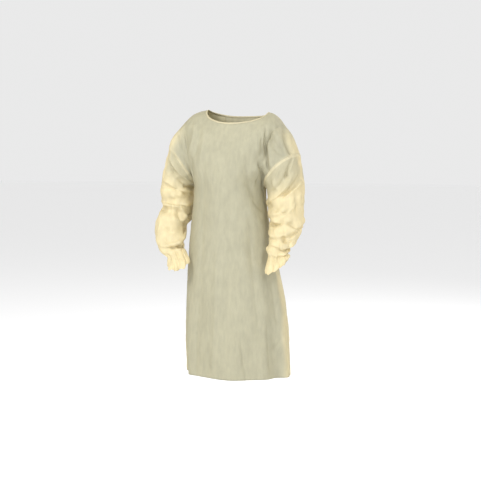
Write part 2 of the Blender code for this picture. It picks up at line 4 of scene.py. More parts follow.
import bpy
import numpy as np
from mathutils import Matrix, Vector


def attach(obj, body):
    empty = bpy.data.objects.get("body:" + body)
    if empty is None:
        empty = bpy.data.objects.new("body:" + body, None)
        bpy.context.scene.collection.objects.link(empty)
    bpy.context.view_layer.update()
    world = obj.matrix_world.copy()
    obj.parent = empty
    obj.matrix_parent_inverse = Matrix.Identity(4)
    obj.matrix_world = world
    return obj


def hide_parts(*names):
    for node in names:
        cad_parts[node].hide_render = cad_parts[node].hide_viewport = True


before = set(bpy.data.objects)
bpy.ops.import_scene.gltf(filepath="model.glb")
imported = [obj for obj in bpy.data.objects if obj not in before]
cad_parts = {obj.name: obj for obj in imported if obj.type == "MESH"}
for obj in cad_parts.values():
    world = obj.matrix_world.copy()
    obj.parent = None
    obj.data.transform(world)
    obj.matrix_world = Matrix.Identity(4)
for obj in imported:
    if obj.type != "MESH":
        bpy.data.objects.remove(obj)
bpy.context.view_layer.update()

# An isolation gown in the shape it takes when worn: thin non-woven cloth laid on the solids' form.

# Front panel
# One piece of yellow spunbond cloth from the wide neckline to the calf, with the dropped shoulders cut
# on to it. It hangs from the shoulders, turns down in a cap at each side, and flares below the sleeves.

CLOTH_THICKNESS = 0.0006
OUTER_FACE = 0.00075    # from the middle of the solid's wall to its face
LENGTH = 1.150          # shoulder to hem at the centre front
NECK_HALF_WIDTH = 0.141
NECK_SHIFT = 0.025      # the wide neck has slipped towards the gown's left
NECK_FRONT_DROP = 0.062
NECK_FRONT_REACH = 0.088
NECK_BACK_DROP = 0.030
NECK_BACK_REACH = 0.078
NECK_LEFT_LOWER = 0.014
NECK_POINT_BACK = 0.004
NECK_REACH_ROUND = 0.8
NECK_DROP_ROUND = 1.1
NECK_SHARE_LEANT = 0.5
NECK_FLARE = 0.022
NECK_FLARE_WIDTH = 0.16
NECK_FLARE_PEAK = 4 / 27        # the highest value of part * (1 - part) ** 2
UNDERARM_DROP = 0.335
SHOULDER_SHARE = 0.45
FAN_AT_NECK = 0.85
FAN_AT_CREASE = 0.55
UNDERARM_POINT = 0.014
UNDERARM_POINT_WIDTH = 20
CAP_LEAVES = (0.75, 0.85, -0.25)
CAP_ARRIVES = (0.25, 0.10, -0.95)
CAP_FULL_TO = 0.80
CAP_SETTLES_FROM = 0.70

# The solids' own columns and rows, and how many finer steps the cloth takes in each
NECK_COLUMNS, SHOULDER_COLUMNS, CAP_COLUMNS, OVERLAP_COLUMNS = 5, 4, 4, 2
HALF_COLUMNS = NECK_COLUMNS + SHOULDER_COLUMNS + CAP_COLUMNS
NECK_SHARE = NECK_COLUMNS / HALF_COLUMNS
CREASE_SHARE = (NECK_COLUMNS + SHOULDER_COLUMNS) / HALF_COLUMNS
UPPER_ROWS, LOWER_ROWS = 16, 14
COLUMN_STEPS = 6
UPPER_STEPS = 6
LOWER_STEPS = 8


def in_metres(kind, measures, rows):
    """The rows of a table, each of which starts with that many measures in millimetres."""
    return [kind(*(mm / 1000 for mm in row[:measures]), *row[measures:]) for row in rows]


# The body below the sleeves: an oval at each height, z below the shoulder
Section = namedtuple("Section", "z half_width front back shift")
BODY = in_metres(Section, 5, (
    (-50, 165, 88, 85, 0),
    (-120, 163, 118, 105, -4),
    (-220, 160, 143, 112, -8),
    (-330, 158, 150, 110, -10),
    (-430, 166, 147, 108, -10),
    (-530, 182, 150, 118, -6),
    (-660, 201, 163, 140, 2),
    (-800, 221, 174, 156, 14),
    (-970, 236, 182, 168, 23),
    (-1200, 240, 190, 180, 30),
))

# Drape folds of the skirt: angle round the body from the centre front towards +X, in degrees
Drape = namedtuple("Drape", "angle width start depth")
DRAPES = [Drape(*row) for row in (
    (-62, 9, -0.62, -0.020),
    (-47, 9, -0.70, 0.009),
    (-20, 13, -0.80, -0.006),
    (6, 12, -0.72, 0.010),
    (33, 13, -0.78, -0.007),
    (61, 8, -0.52, -0.015),
    (76, 7, -0.50, 0.012),
    (108, 11, -0.58, -0.016),
    (133, 12, -0.55, 0.014),
    (156, 10, -0.60, -0.014),
    (198, 11, -0.58, -0.013),
    (222, 11, -0.56, 0.014),
    (246, 11, -0.60, -0.017),
)]

# The line over the shoulder from the neck to the sleeve's seam, for either side
Ridge = namedtuple("Ridge", "left right z")
RIDGE = in_metres(Ridge, 3, (
    (188, -180, -20),
    (214, -206, -44),
    (238, -230, -72),
    (260, -252, -104),
    (280, -275, -142),
))
NECK_CORNER_RIGHT = (-0.150, 0.000, -0.007)

# The valley between chest and cap, at quarters of the way down to the underarm
Valley = namedtuple("Valley", "x front back z")

# One side of the gown: the sleeve's seam goes through its top, front and back points and the underarm
Side = namedtuple("Side", "sign seam_top seam_front seam_back valley")
LEFT = Side(
    1,
    (0.303, 0.000, -0.193),
    (0.226, -0.088, -0.238),
    (0.232, 0.088, -0.262),
    in_metres(Valley, 4, (
        (178, -52, 50, -85),
        (178, -68, 68, -160),
        (166, -80, 78, -245),
    )),
)
RIGHT = Side(
    -1,
    (-0.272, -0.048, -0.158),
    (-0.222, -0.088, -0.205),
    (-0.246, 0.080, -0.262),
    in_metres(Valley, 4, (
        (-184, -58, 50, -80),
        (-180, -78, 68, -150),
        (-168, -86, 78, -235),
    )),
)


def smooth_through(knots, values, at, bend=0.0):
    """The values at places on a smooth curve through a table's rows; bend turns the way it starts."""
    knots, values = np.asarray(knots, float), np.asarray(values, float)
    slopes = np.gradient(values, knots, axis=0)
    slopes[0] += bend
    at = np.clip(at, knots[0], knots[-1])
    i = np.clip(np.searchsorted(knots, at) - 1, 0, len(knots) - 2)
    wide = np.shape(at) + (1,) * (values.ndim - 1)
    step = np.reshape(knots[i + 1] - knots[i], wide)
    q = np.reshape(at - knots[i], wide) / step
    rise = q * q * (3 - 2 * q)
    return (
        values[i] * (1 - rise)
        + values[i + 1] * rise
        + slopes[i] * step * q * (1 - q) ** 2
        - slopes[i + 1] * step * q * q * (1 - q)
    )


def ease(value):
    """0 below 0, 1 above 1, smooth between."""
    value = np.clip(value, 0.0, 1.0)
    return value * value * (3 - 2 * value)


def hump(distance):
    """1 at 0, falling smoothly to nearly 0 at a distance of 2."""
    return np.exp(-np.square(distance))


def point(x, y, z):
    return np.stack(np.broadcast_arrays(x, y, z), axis=-1)


def drape_at(angle, z):
    """How far the skirt's folds move the cloth outwards there."""
    out = 0.0
    for fold in DRAPES:
        away = (angle - fold.angle + 180) % 360 - 180
        grow = ease((fold.start - z) / (LENGTH + fold.start))
        out = out + fold.depth * grow * hump(away / fold.width)
    return out


def torso(face, sign, share, z):
    """Points of the body's oval: share 0 at the centre of the front or back, 1 at the side seam."""
    share, z = np.broadcast_arrays(np.asarray(share, float), np.asarray(z, float))
    section = smooth_through([-s.z for s in BODY], [s[1:] for s in BODY], -z)
    half_width, front, back, shift = np.moveaxis(section, -1, 0)
    turn = np.radians(90 * share)
    angle = 90 * share * sign if face == "front" else 180 - 90 * share * sign
    reach, facing = (front, -1) if face == "front" else (back, 1)
    out = drape_at(angle, z)
    x = shift + sign * (half_width + out) * np.sin(turn)
    return point(x, facing * (reach + out) * np.cos(turn), z)


def underarm(side):
    return torso("front", side.sign, 1.0, -UNDERARM_DROP)


def seam_ring(side, turn):
    """The sleeve's seam: turn 0 at the top, 90 in front, 180 at the underarm, 270 behind."""
    top, front, back = (np.array(p) for p in side[1:4])
    point_down = np.array((0.0, 0.0, -UNDERARM_POINT))
    under = underarm(side) - point_down
    turn = np.asarray(turn, float)[..., None]
    pointed = np.exp(-np.abs(turn - 180) / UNDERARM_POINT_WIDTH)
    turn = np.radians(turn)
    return (
        (top + under + front + back) / 4
        + (top - under) / 2 * np.cos(turn)
        + (front - back) / 2 * np.sin(turn)
        + ((top + under) - (front + back)) / 4 * np.cos(2 * turn)
        + point_down * pointed
    )


def neck_point(sign):
    lower = NECK_LEFT_LOWER if sign > 0 else 0.0
    return np.array((NECK_SHIFT + sign * NECK_HALF_WIDTH, NECK_POINT_BACK, -lower))


def shoulder_line(side, share):
    """The ridge where front and back panels meet: share 0 at the neck, 1 at the sleeve's seam."""
    start, end = neck_point(side.sign), np.array(side.seam_top)
    points = [start]
    for i, r in enumerate(RIDGE):
        depth = end[1] * (i + 1) / (len(RIDGE) + 1)
        points.append(np.array((r.left if side is LEFT else r.right, depth, r.z)))
    if side is RIGHT:
        points = [start, np.array(NECK_CORNER_RIGHT), *points[1:-1]]
    points.append(end)
    along = np.cumsum([0.0] + [np.linalg.norm(b - a) for a, b in zip(points, points[1:])])
    return smooth_through(along / along[-1], points, share)


def top_edge(face, side, share):
    """The panel's top: the neckline from the centre to the neck point, then the shoulder line."""
    share = np.asarray(share, float)
    turn = np.radians(90 * np.clip(share / NECK_SHARE, 0.0, 1.0))
    toward_centre = np.clip(np.cos(turn), 0.0, 1.0)
    drop = NECK_FRONT_DROP if face == "front" else NECK_BACK_DROP
    reach = -NECK_FRONT_REACH if face == "front" else NECK_BACK_REACH
    end = neck_point(side.sign)
    neckline = point(
        NECK_SHIFT + (end[0] - NECK_SHIFT) * np.sin(turn),
        end[1] + (reach - end[1]) * toward_centre ** NECK_REACH_ROUND,
        end[2] * np.sin(turn) ** 2 - drop * toward_centre ** NECK_DROP_ROUND,
    )
    shoulder = shoulder_line(side, (share - NECK_SHARE) / (1 - NECK_SHARE))
    return np.where((share > NECK_SHARE)[..., None], shoulder, neckline)


def valley_point(face, side, down):
    """The valley between body and cap: down 0 on the shoulder line, 1 level with the underarm."""
    start = top_edge(face, side, CREASE_SHARE)
    start[0] = side.valley[0].x
    rows = [start]
    for v in side.valley:
        rows.append(np.array((v.x, v.front if face == "front" else v.back, v.z)))
    rows.append(torso(face, side.sign, CREASE_SHARE, -UNDERARM_DROP))
    step = 1 / (len(rows) - 1)
    rows.append(torso(face, side.sign, CREASE_SHARE, -UNDERARM_DROP * (1 + step)))
    return smooth_through(np.linspace(0, 1 + step, len(rows)), rows, down)


def chest_arc(face, side, share, down):
    """Rows across the body from its centre to the valley."""
    drop = NECK_FRONT_DROP if face == "front" else NECK_BACK_DROP
    lean = (1 - ease(down / NECK_SHARE_LEANT))[..., None]
    offset = top_edge(face, side, 0.0) - torso(face, side.sign, 0.0, -drop)
    middle = torso(face, side.sign, 0.0, -drop - (UNDERARM_DROP - drop) * down) + offset * lean
    end = valley_point(face, side, down)
    turn, last = np.radians(90 * share), math.radians(90 * CREASE_SHARE)
    across = np.sin(turn) / math.sin(last)
    round_share = (1 - np.cos(turn)) / (1 - math.cos(last))
    return middle + (end - middle) * point(across, round_share, (share / CREASE_SHARE) ** 2)


def cap_arc(face, side, share, down):
    """Rows over the cap, from the valley to the sleeve's seam."""
    turn = 180 * down if face == "front" else 360 - 180 * down
    start, end = valley_point(face, side, down), seam_ring(side, turn)
    span = np.linalg.norm(end - start, axis=-1, keepdims=True)
    facing = -1 if face == "front" else 1
    fullness = np.sin(np.pi * np.clip(down / CAP_FULL_TO, 0.0, 1.0))
    turned = point(side.sign, facing * fullness, 1.0) * span
    leave, arrive = np.array(CAP_LEAVES) * turned, np.array(CAP_ARRIVES) * turned
    q = ((share - CREASE_SHARE) / (1 - CREASE_SHARE))[..., None]
    rise = q * q * (3 - 2 * q)
    curve = start * (1 - rise) + end * rise + leave * q * (1 - q) ** 2 - arrive * q * q * (1 - q)
    level = start[..., 2] - (UNDERARM_DROP + start[..., 2]) * q[..., 0] ** 2
    settled = torso(face, side.sign, share, level) + (end - underarm(side)) * q * q
    settle = ease((down - CAP_SETTLES_FROM) / (1 - CAP_SETTLES_FROM))[..., None]
    return curve * (1 - settle) + settled * settle


def panel_points(face, side, share, row):
    """Points of a body panel: row counts down from the top edge, past the underarm to the hem."""
    down = np.clip(row / UPPER_ROWS, 0.0, 1.0)
    on_chest = (share <= CREASE_SHARE)[..., None]
    made, at_top = (
        np.where(on_chest, chest_arc(face, side, share, d), cap_arc(face, side, share, d))
        for d in (down, np.zeros_like(down))
    )
    part = np.clip(down / SHOULDER_SHARE, 0.0, 1.0)
    slide = (1 - part) ** 2 * (1 + 2 * part)
    spread = ease((share - NECK_SHARE) / (CREASE_SHARE - NECK_SHARE))
    slip = np.clip(down / (FAN_AT_NECK + (FAN_AT_CREASE - FAN_AT_NECK) * spread), 0.0, 1.0)
    fan = (1 - slip) ** 2 * (1 + 2 * slip)
    at_neck = 1 - ease(share / NECK_SHARE)
    forward = slide * at_neck + (1 - part) ** 3 * (1 - at_neck)
    drop = slide * at_neck + (1 - part * part) ** 2 * (1 - at_neck)
    swell = part * (1 - part) ** 2 / NECK_FLARE_PEAK
    swell = swell * hump((share - NECK_SHARE) / NECK_FLARE_WIDTH)
    made = made + (top_edge(face, side, share) - at_top) * point(fan, forward, drop)
    made[..., 0] += side.sign * NECK_FLARE * swell
    below = (row - UPPER_ROWS) / LOWER_ROWS
    skirt = torso(face, side.sign, share, -UNDERARM_DROP - (LENGTH - UNDERARM_DROP) * below)
    return np.where((row <= UPPER_ROWS)[..., None], made, skirt)


def fine_rows():
    upper = np.arange(UPPER_ROWS * UPPER_STEPS) / UPPER_STEPS
    lower = UPPER_ROWS + np.arange(LOWER_ROWS * LOWER_STEPS + 1) / LOWER_STEPS
    return np.concatenate((upper, lower))


def half_panel(face, side):
    """A panel from its centre to the side seam."""
    share = np.arange(HALF_COLUMNS * COLUMN_STEPS + 1) / COLUMN_STEPS / HALF_COLUMNS
    row, share = np.meshgrid(fine_rows(), share, indexing="ij")
    return panel_points(face, side, share, row)


def relaxed(grid, passes, around=False):
    """The sheet with its small kinks eased out: each point inside moves towards its neighbours."""
    grid = grid.copy()
    for _ in range(passes):
        beside = (np.roll(grid, 1, 1) + np.roll(grid, -1, 1)) / 2
        inside = np.s_[1:-1] if around else np.s_[1:-1, 1:-1]
        between = (grid[:-2] + grid[2:]) / 2
        mean = (between + beside[1:-1]) / 2
        grid[inside] = (grid[inside] + (mean if around else mean[:, 1:-1])) / 2
    return grid


SHORTEST_STEP = 1e-9


def outward(grid, around=False):
    """Unit steps out of the sheet."""
    down = np.gradient(grid, axis=0)
    across = np.roll(grid, -1, 1) - np.roll(grid, 1, 1) if around else np.gradient(grid, axis=1)
    out = np.cross(across, down)
    return out / np.maximum(np.linalg.norm(out, axis=-1, keepdims=True), SHORTEST_STEP)


def from_edge(grid, edge):
    """How far each point lies from one edge of the sheet, along the cloth."""
    axis = 0 if edge == "top" else 1
    steps = np.linalg.norm(np.diff(grid, axis=axis), axis=-1)
    pad = ((1, 0), (0, 0)) if axis == 0 else ((0, 0), (1, 0))
    reach = np.cumsum(np.pad(steps, pad), axis=axis)
    if edge in ("top", "first"):
        return reach
    return np.take(reach, [-1], axis=axis) - reach


WAVES = 16
WAVE_LENGTHS = (1.2, 3.0)       # times the size of a bump


def uneven(points, size, seed):
    """A smooth random field, mostly between -1 and 1, with bumps of about that size."""
    random = np.random.default_rng(seed)
    total = 0.0
    for _ in range(WAVES):
        way = random.normal(size=3)
        way *= math.tau / (size * random.uniform(*WAVE_LENGTHS)) / np.linalg.norm(way)
        total = total + np.sin(points @ way + random.uniform(0, math.tau))
    return total * math.sqrt(2 / WAVES) / 2


# A crease runs from one place to another, h across and z up, as seen from the front left or, on the
# far side, from the back right. Depth below 0 is a trough; one flank is softer than the other.
Crease = namedtuple("Crease", "h z to_h to_z bow width depth")
VIEW_TURN = math.radians(20)
ACROSS_VIEW = np.array((math.cos(VIEW_TURN), math.sin(VIEW_TURN), 0.0))
TOWARDS_VIEW = np.array((math.sin(VIEW_TURN), -math.cos(VIEW_TURN), 0.0))
SOFT_FLANK = 2.0
CREST = 1.4             # below 2 a crease has a sharp crest
TURNED_FROM, TURNED_OVER = -0.05, 0.35      # a crease fades where the cloth turns away from the view
ENDS_PAST, ENDS_OVER = 0.15, 0.35       # and past its ends, as shares of its length


def creased(points, out, creases, facing):
    """How far the creases push each point out; facing 1 is the side seen, -1 the far side."""
    across, up = points @ ACROSS_VIEW, points[..., 2]
    seen = ease((out @ TOWARDS_VIEW * facing - TURNED_FROM) / TURNED_OVER)
    push = np.zeros(points.shape[:2])
    for c in creases:
        run = np.array((c.to_h - c.h, c.to_z - c.z))
        length = np.linalg.norm(run)
        along = ((across - c.h) * run[0] + (up - c.z) * run[1]) / length ** 2
        aside = ((across - c.h) * run[1] - (up - c.z) * run[0]) / length
        aside = aside - c.bow * 4 * along * (1 - along)
        flank = np.where(aside > 0, c.width, c.width * SOFT_FLANK)
        ends = ease((along + ENDS_PAST) / ENDS_OVER) * ease((1 + ENDS_PAST - along) / ENDS_OVER)
        push += c.depth * np.exp(-np.abs(aside / flank) ** CREST) * ends
    return push * seen


FRONT_CREASES = in_metres(Crease, 7, (
    (176, -84, 158, -126, 0, 5.5, 5.2),
    (174, -136, 214, -172, 4, 4.5, -4),
    (168, -160, 224, -205, 4, 4.5, 4),
    (172, -105, 205, -125, 3, 5, 3.5),
    (-232, -100, -205, -190, 4, 5, -4.5),
    (-215, -85, -190, -215, 5, 5.5, 4.5),
    (122, -110, 141, -300, 6, 4.5, -6),
    (151, -90, 159, -240, 3, 5, 5),
    (112, -230, 138, -345, -4, 4, -9),
    (122, -255, 148, -330, -2, 4, 6),
    (138, -85, 147, -280, 2, 3.6, -11.5),
    (118, -225, 137, -350, -3, 6, -9.6),
    (124, -170, 140, -330, 3, 6, 8),
    (215, -70, 254, -205, 12, 6, -9.6),
    (236, -80, 268, -190, 10, 6, 5.6),
    (180, -65, 202, -200, 6, 10, 5.6),
    (160, -120, 172, -245, 4, 8, -3),
    (60, -215, 112, -395, 16, 26, -11.2),
    (-140, -50, -165, -200, -6, 7, -5.6),
    (-165, -60, -190, -190, -6, 6, 5.6),
    (-120, -70, -140, -230, -4, 9, 4),
    (-178, -215, -172, -345, 3, 6, -8),
    (-120, -170, -135, -930, 6, 16, -5.6),
    (-10, -390, -30, -1120, 6, 20, -6.4),
    (75, -510, 128, -1040, 6, 20, -7.2),
    (-70, -620, -85, -1140, -4, 13, 6.4),
    (31, -970, 59, -1150, 1, 4.5, -4.8),
    (166, -1034, 212, -978, 6, 5, -5),
    (172, -740, 196, -930, 4, 10, -6),
    (-192, -640, -186, -1140, 3, 8, 8),
    (-10, -170, 50, -200, 6, 14, 3.2),
    (-90, -250, -40, -330, 8, 16, -4),
    (18, -880, 20, -1150, 2, 16, 4.5),
    (118, -980, 130, -1150, 2, 12, 5),
    (152, -900, 166, -1150, 2, 9, -6),
    (-150, -800, -160, -1150, 2, 9, -5),
    (90, -390, 136, -440, 4, 6, -4),
    (70, -430, 140, -500, 6, 8, 3.5),
    (-110, -100, -60, -150, 4, 12, 2.5),
    (10, -240, 75, -290, 6, 12, 3),
    (20, -300, 90, -330, 6, 12, -3),
))
SEAM_STIFF = 0.010      # the cloth lies flat this near to a seam
CRUMPLE, CRUMPLE_SIZE = 0.0007, 0.040       # how deep, and how large its bumps are
FINE_SHARE, FINE_SIZE = 0.5, 0.018
SWAY, SWAY_SIZE = 0.0022, 0.110


def worn(grid, near_seam, seed, crumple=CRUMPLE, seen=(), hidden=(), around=False):
    """A sheet of cloth on its solid's face, with its creases and its slight crumple."""
    out = outward(grid, around)
    free = ease(near_seam / SEAM_STIFF)
    push = creased(grid, out, seen, 1) + creased(grid, out, hidden, -1)
    push += crumple * (1 - 2 * np.abs(uneven(grid, CRUMPLE_SIZE, seed)))
    push += crumple * FINE_SHARE * uneven(grid, FINE_SIZE, seed + 1)
    push += SWAY * uneven(grid, SWAY_SIZE, seed + 2)
    return grid + out * (OUTER_FACE + push * free)[..., None]


def add_object(name, data):
    """A new object in the scene, at the origin."""
    made = bpy.data.objects.new(name, data)
    bpy.context.scene.collection.objects.link(made)
    return made


def cloth_piece(name, grid, material, marks, around=False):
    """A thin closed shell on a sheet of points, with its own UV map in metres and its marks."""
    rows, columns = grid.shape[:2]
    index = np.arange(rows * columns).reshape(rows, columns)
    if around:
        index = np.concatenate((index, index[:, :1]), axis=1)
    faces = np.stack((index[:-1, :-1], index[:-1, 1:], index[1:, 1:], index[1:, :-1]), axis=-1)
    mesh = bpy.data.meshes.new(name)
    mesh.from_pydata(grid.reshape(-1, 3).tolist(), [], faces.reshape(-1, 4).tolist())
    step_down = np.linalg.norm(np.diff(grid, axis=0), axis=-1).mean()
    step_across = np.linalg.norm(np.diff(grid, axis=1), axis=-1).mean()
    r, c = np.meshgrid(np.arange(rows - 1), np.arange(faces.shape[1]), indexing="ij")
    corners = np.stack((c, r, c + 1, r, c + 1, r + 1, c, r + 1), axis=-1).reshape(-1, 2)
    cloth_map = mesh.uv_layers.new(name="cloth")
    cloth_map.uv.foreach_set("vector", (corners * (step_across, step_down)).astype(np.float32).ravel())
    for mark, values in marks.items():
        attribute = mesh.attributes.new(mark, "FLOAT", "POINT")
        attribute.data.foreach_set("value", np.asarray(values, np.float32).ravel())
    mesh.shade_smooth()
    mesh.materials.append(material)
    piece = add_object(name, mesh)
    shell = piece.modifiers.new("shell", "SOLIDIFY")
    shell.thickness = CLOTH_THICKNESS
    shell.offset = -1
    return piece


NODE_SPACING = 200


def feed(made, inputs):
    """Set a node's sockets; a pair of another node and the name of its output is a link."""
    for socket, value in inputs.items():
        if isinstance(value, tuple) and isinstance(value[0], bpy.types.Node):
            made.id_data.links.new(value[0].outputs[value[1]], made.inputs[socket])
        else:
            made.inputs[socket].default_value = value


def node(tree, kind, inputs=None, **settings):
    """A new node, to the right of those before it."""
    made = tree.nodes.new(kind)
    made.location = (NODE_SPACING * len(tree.nodes), 0)
    for name, value in settings.items():
        setattr(made, name, value)
    feed(made, inputs or {})
    return made


def node_group(name, kind, inputs, outputs):
    """A node group with its named sockets, and its two end nodes."""
    tree = bpy.data.node_groups.new(name, kind)
    for way, sockets in (("INPUT", inputs), ("OUTPUT", outputs)):
        for socket, value in sockets.items():
            tree.interface.new_socket(socket, in_out=way, socket_type=f"NodeSocket{value}")
    return tree, node(tree, "NodeGroupInput"), node(tree, "NodeGroupOutput")


STREAK_SHARE, PATCH_SHARE, FIBRE_HEIGHT = 0.30, 0.55, 0.5


def share_added(tree, whole, share, added):
    """One value with a share of another on top."""
    return node(tree, "ShaderNodeMath", {0: added, 1: share, 2: whole}, operation="MULTIPLY_ADD")


def bonded_fibres():
    """Node group: the cloudy, streaky look of bonded fibres, and their small bond points as a height."""
    shown = {"Tone": "Float", "Height": "Float"}
    tree, start, end = node_group("bonded_fibres", "ShaderNodeTree", {"Clouds per metre": "Float"}, shown)
    place = node(tree, "ShaderNodeTexCoord")
    cloth_map = node(tree, "ShaderNodeUVMap", uv_map="cloth")
    stretch = node(tree, "ShaderNodeMapping", {"Vector": (place, "Object"), "Scale": (1.0, 1.0, 0.28)})
    clouds = node(tree, "ShaderNodeTexNoise", {
        "Vector": (stretch, "Vector"),
        "Scale": (start, "Clouds per metre"),
        "Detail": 5.0,
        "Roughness": 0.62,
    })
    fibres = node(tree, "ShaderNodeTexNoise", {
        "Vector": (place, "Object"),
        "Scale": 950.0,
        "Detail": 2.0,
        "Distortion": 1.5,
    })
    bonds = node(tree, "ShaderNodeTexVoronoi", {
        "Vector": (cloth_map, "UV"),
        "Scale": 620.0,
        "Randomness": 0.25,
    }, feature="F1")
    dimples = node(tree, "ShaderNodeMapRange", {"Value": (bonds, "Distance"), "From Max": 0.35})
    patches = node(tree, "ShaderNodeTexNoise", {"Vector": (place, "Object"), "Scale": 16.0, "Detail": 3.0})
    streaked = share_added(tree, (clouds, "Fac"), STREAK_SHARE, (fibres, "Fac"))
    web = share_added(tree, (streaked, "Value"), PATCH_SHARE, (patches, "Fac"))
    tone = node(tree, "ShaderNodeMapRange", {"Value": (web, "Value"), "From Min": 0.70, "From Max": 1.12})
    heights = share_added(tree, (dimples, "Result"), FIBRE_HEIGHT, (fibres, "Fac"))
    feed(end, {"Tone": (tone, "Result"), "Height": (heights, "Value")})
    return tree


def mixed(tree, factor, first, second, blend="MIX"):
    """A mix of two colours."""
    inputs = {"Factor": factor, "A": first, "B": second}
    return node(tree, "ShaderNodeMix", inputs, data_type="RGBA", blend_type=blend)


FIBRES = bonded_fibres()
# The muted yellow is painted shade: the thin cloth darkened as though something dark lay close behind it.
# The clear yellow is the cloth without it.
PAINTED_SHADE_YELLOW = (0.568, 0.544, 0.398, 1)
CLEAR_YELLOW = (0.905, 0.805, 0.524, 1)
DOUBLED_YELLOW = (0.860, 0.790, 0.560, 1)
CLOUD_CONTRAST = 0.09
# The edge-on tint is partly more fibres seen one behind another, and partly painted shade on flanks and
# sides turned away.
EDGE_ON_TINT = (0.76, 0.71, 0.56, 1)    # seen edge-on, more fibres lie one behind another
EDGE_ON_NARROW = 0.30
LIGHT_THROUGH = 0.30    # share of the light that goes through a single layer


def cloth_material(name, clouds=70.0, bump=0.20):
    """Spunbond cloth. One mark turns the muted yellow of painted shade to clear yellow; its doubled mark is
    two layers.
    """
    material = bpy.data.materials.new(name)
    material.use_nodes = True
    tree = material.node_tree
    tree.nodes.clear()
    fibres = node(tree, "ShaderNodeGroup", {"Clouds per metre": clouds}, node_tree=FIBRES)
    unshaded = node(tree, "ShaderNodeAttribute", attribute_name="unshaded")
    doubled = node(tree, "ShaderNodeAttribute", attribute_name="doubled")
    edge_on = node(tree, "ShaderNodeLayerWeight", {"Blend": EDGE_ON_NARROW})
    yellow = mixed(tree, (unshaded, "Fac"), PAINTED_SHADE_YELLOW, CLEAR_YELLOW)
    layers = mixed(tree, (doubled, "Fac"), (yellow, "Result"), DOUBLED_YELLOW)
    deepened = mixed(tree, (edge_on, "Facing"), (layers, "Result"), EDGE_ON_TINT, "MULTIPLY")
    shade = node(tree, "ShaderNodeMapRange", {
        "Value": (fibres, "Tone"),
        "To Min": 1 - CLOUD_CONTRAST,
        "To Max": 1 + CLOUD_CONTRAST / 2,
    })
    clouded = node(tree, "ShaderNodeVectorMath", {
        0: (deepened, "Result"),
        "Scale": (shade, "Result"),
    }, operation="SCALE")
    bumps = node(tree, "ShaderNodeBump", {
        "Height": (fibres, "Height"),
        "Strength": bump,
        "Distance": 0.0004,
    })
    surface = node(tree, "ShaderNodeBsdfPrincipled", {
        "Base Color": (clouded, "Vector"),
        "Normal": (bumps, "Normal"),
        "Roughness": 0.72,
        "Sheen Weight": 0.15,
        "Specular IOR Level": 0.30,
    })
    through = node(tree, "ShaderNodeBsdfTranslucent", {
        "Color": (clouded, "Vector"),
        "Normal": (bumps, "Normal"),
    })
    both = node(tree, "ShaderNodeMixShader", {
        "Fac": LIGHT_THROUGH,
        1: (surface, "BSDF"),
        2: (through, "BSDF"),
    })
    node(tree, "ShaderNodeOutputMaterial", {"Surface": (both, "Shader")})
    return material


BODY_CLOTH = cloth_material("body_cloth")
SEAM_TURN_IN = 0.009    # the sewn-in edge, which shows through as a paler strip
# Where the body panels lose their painted shade and turn clear yellow: the outer caps, a band low at each
# side, and a little all over the back.
OUTER_CAP_FROM, OUTER_CAP_GROWS = 0.62, 0.30     # share across the panel
OUTER_CAP_FULL_LEFT, OUTER_CAP_FULL_RIGHT = 0.05, 0.20      # share of the way down to the underarm
OUTER_CAP_DOWN, OUTER_CAP_UNSHADED = 0.30, 0.85
SIDE_BAND_STARTS, SIDE_BAND_GROWS_OVER = -0.45, 0.50
SIDE_BAND_FROM, SIDE_BAND_WIDENS = 0.95, 0.20    # share across the panel
SIDE_BAND_EDGE, SIDE_BAND_UNSHADED = 0.09, 0.58
SIDE_BAND_SWAY, SIDE_BAND_SWAY_SIZE, SIDE_BAND_SEED = 0.02, 0.12, 7
BACK_UNSHADED = 0.25
SEAM_DOUBLED = 0.65
PANEL_EASING = 10


def panel_marks(grid, face, side, share, row):
    """Where a body panel is clear of its painted shade, and where two layers lie together."""
    at_seam = ease(1 - from_side_seam(grid, share) / SEAM_TURN_IN)
    down = np.clip(row / UPPER_ROWS, 0.0, 1.0)
    over_arm = ease((share - OUTER_CAP_FROM) / OUTER_CAP_GROWS) * (row <= UPPER_ROWS)
    cap_full = OUTER_CAP_FULL_LEFT if side is LEFT else OUTER_CAP_FULL_RIGHT
    unshaded = OUTER_CAP_UNSHADED * over_arm * (1 - ease((down - cap_full) / OUTER_CAP_DOWN))
    low = np.clip((SIDE_BAND_STARTS - grid[..., 2]) / SIDE_BAND_GROWS_OVER, 0.0, 1.0)
    sway = SIDE_BAND_SWAY * uneven(grid, SIDE_BAND_SWAY_SIZE, SIDE_BAND_SEED)
    reach = share - SIDE_BAND_FROM + SIDE_BAND_WIDENS * low + sway
    unshaded = np.maximum(unshaded, SIDE_BAND_UNSHADED * ease(reach / SIDE_BAND_EDGE) * (row > UPPER_ROWS))
    if face == "back":
        unshaded = np.maximum(unshaded, BACK_UNSHADED)
    return {"unshaded": unshaded, "doubled": SEAM_DOUBLED * at_seam}


def from_side_seam(grid, share):
    """How far each point lies from the panel's outer edge, along the cloth."""
    outer = np.argmax(share[0])
    return from_edge(grid, "first" if outer == 0 else "last")


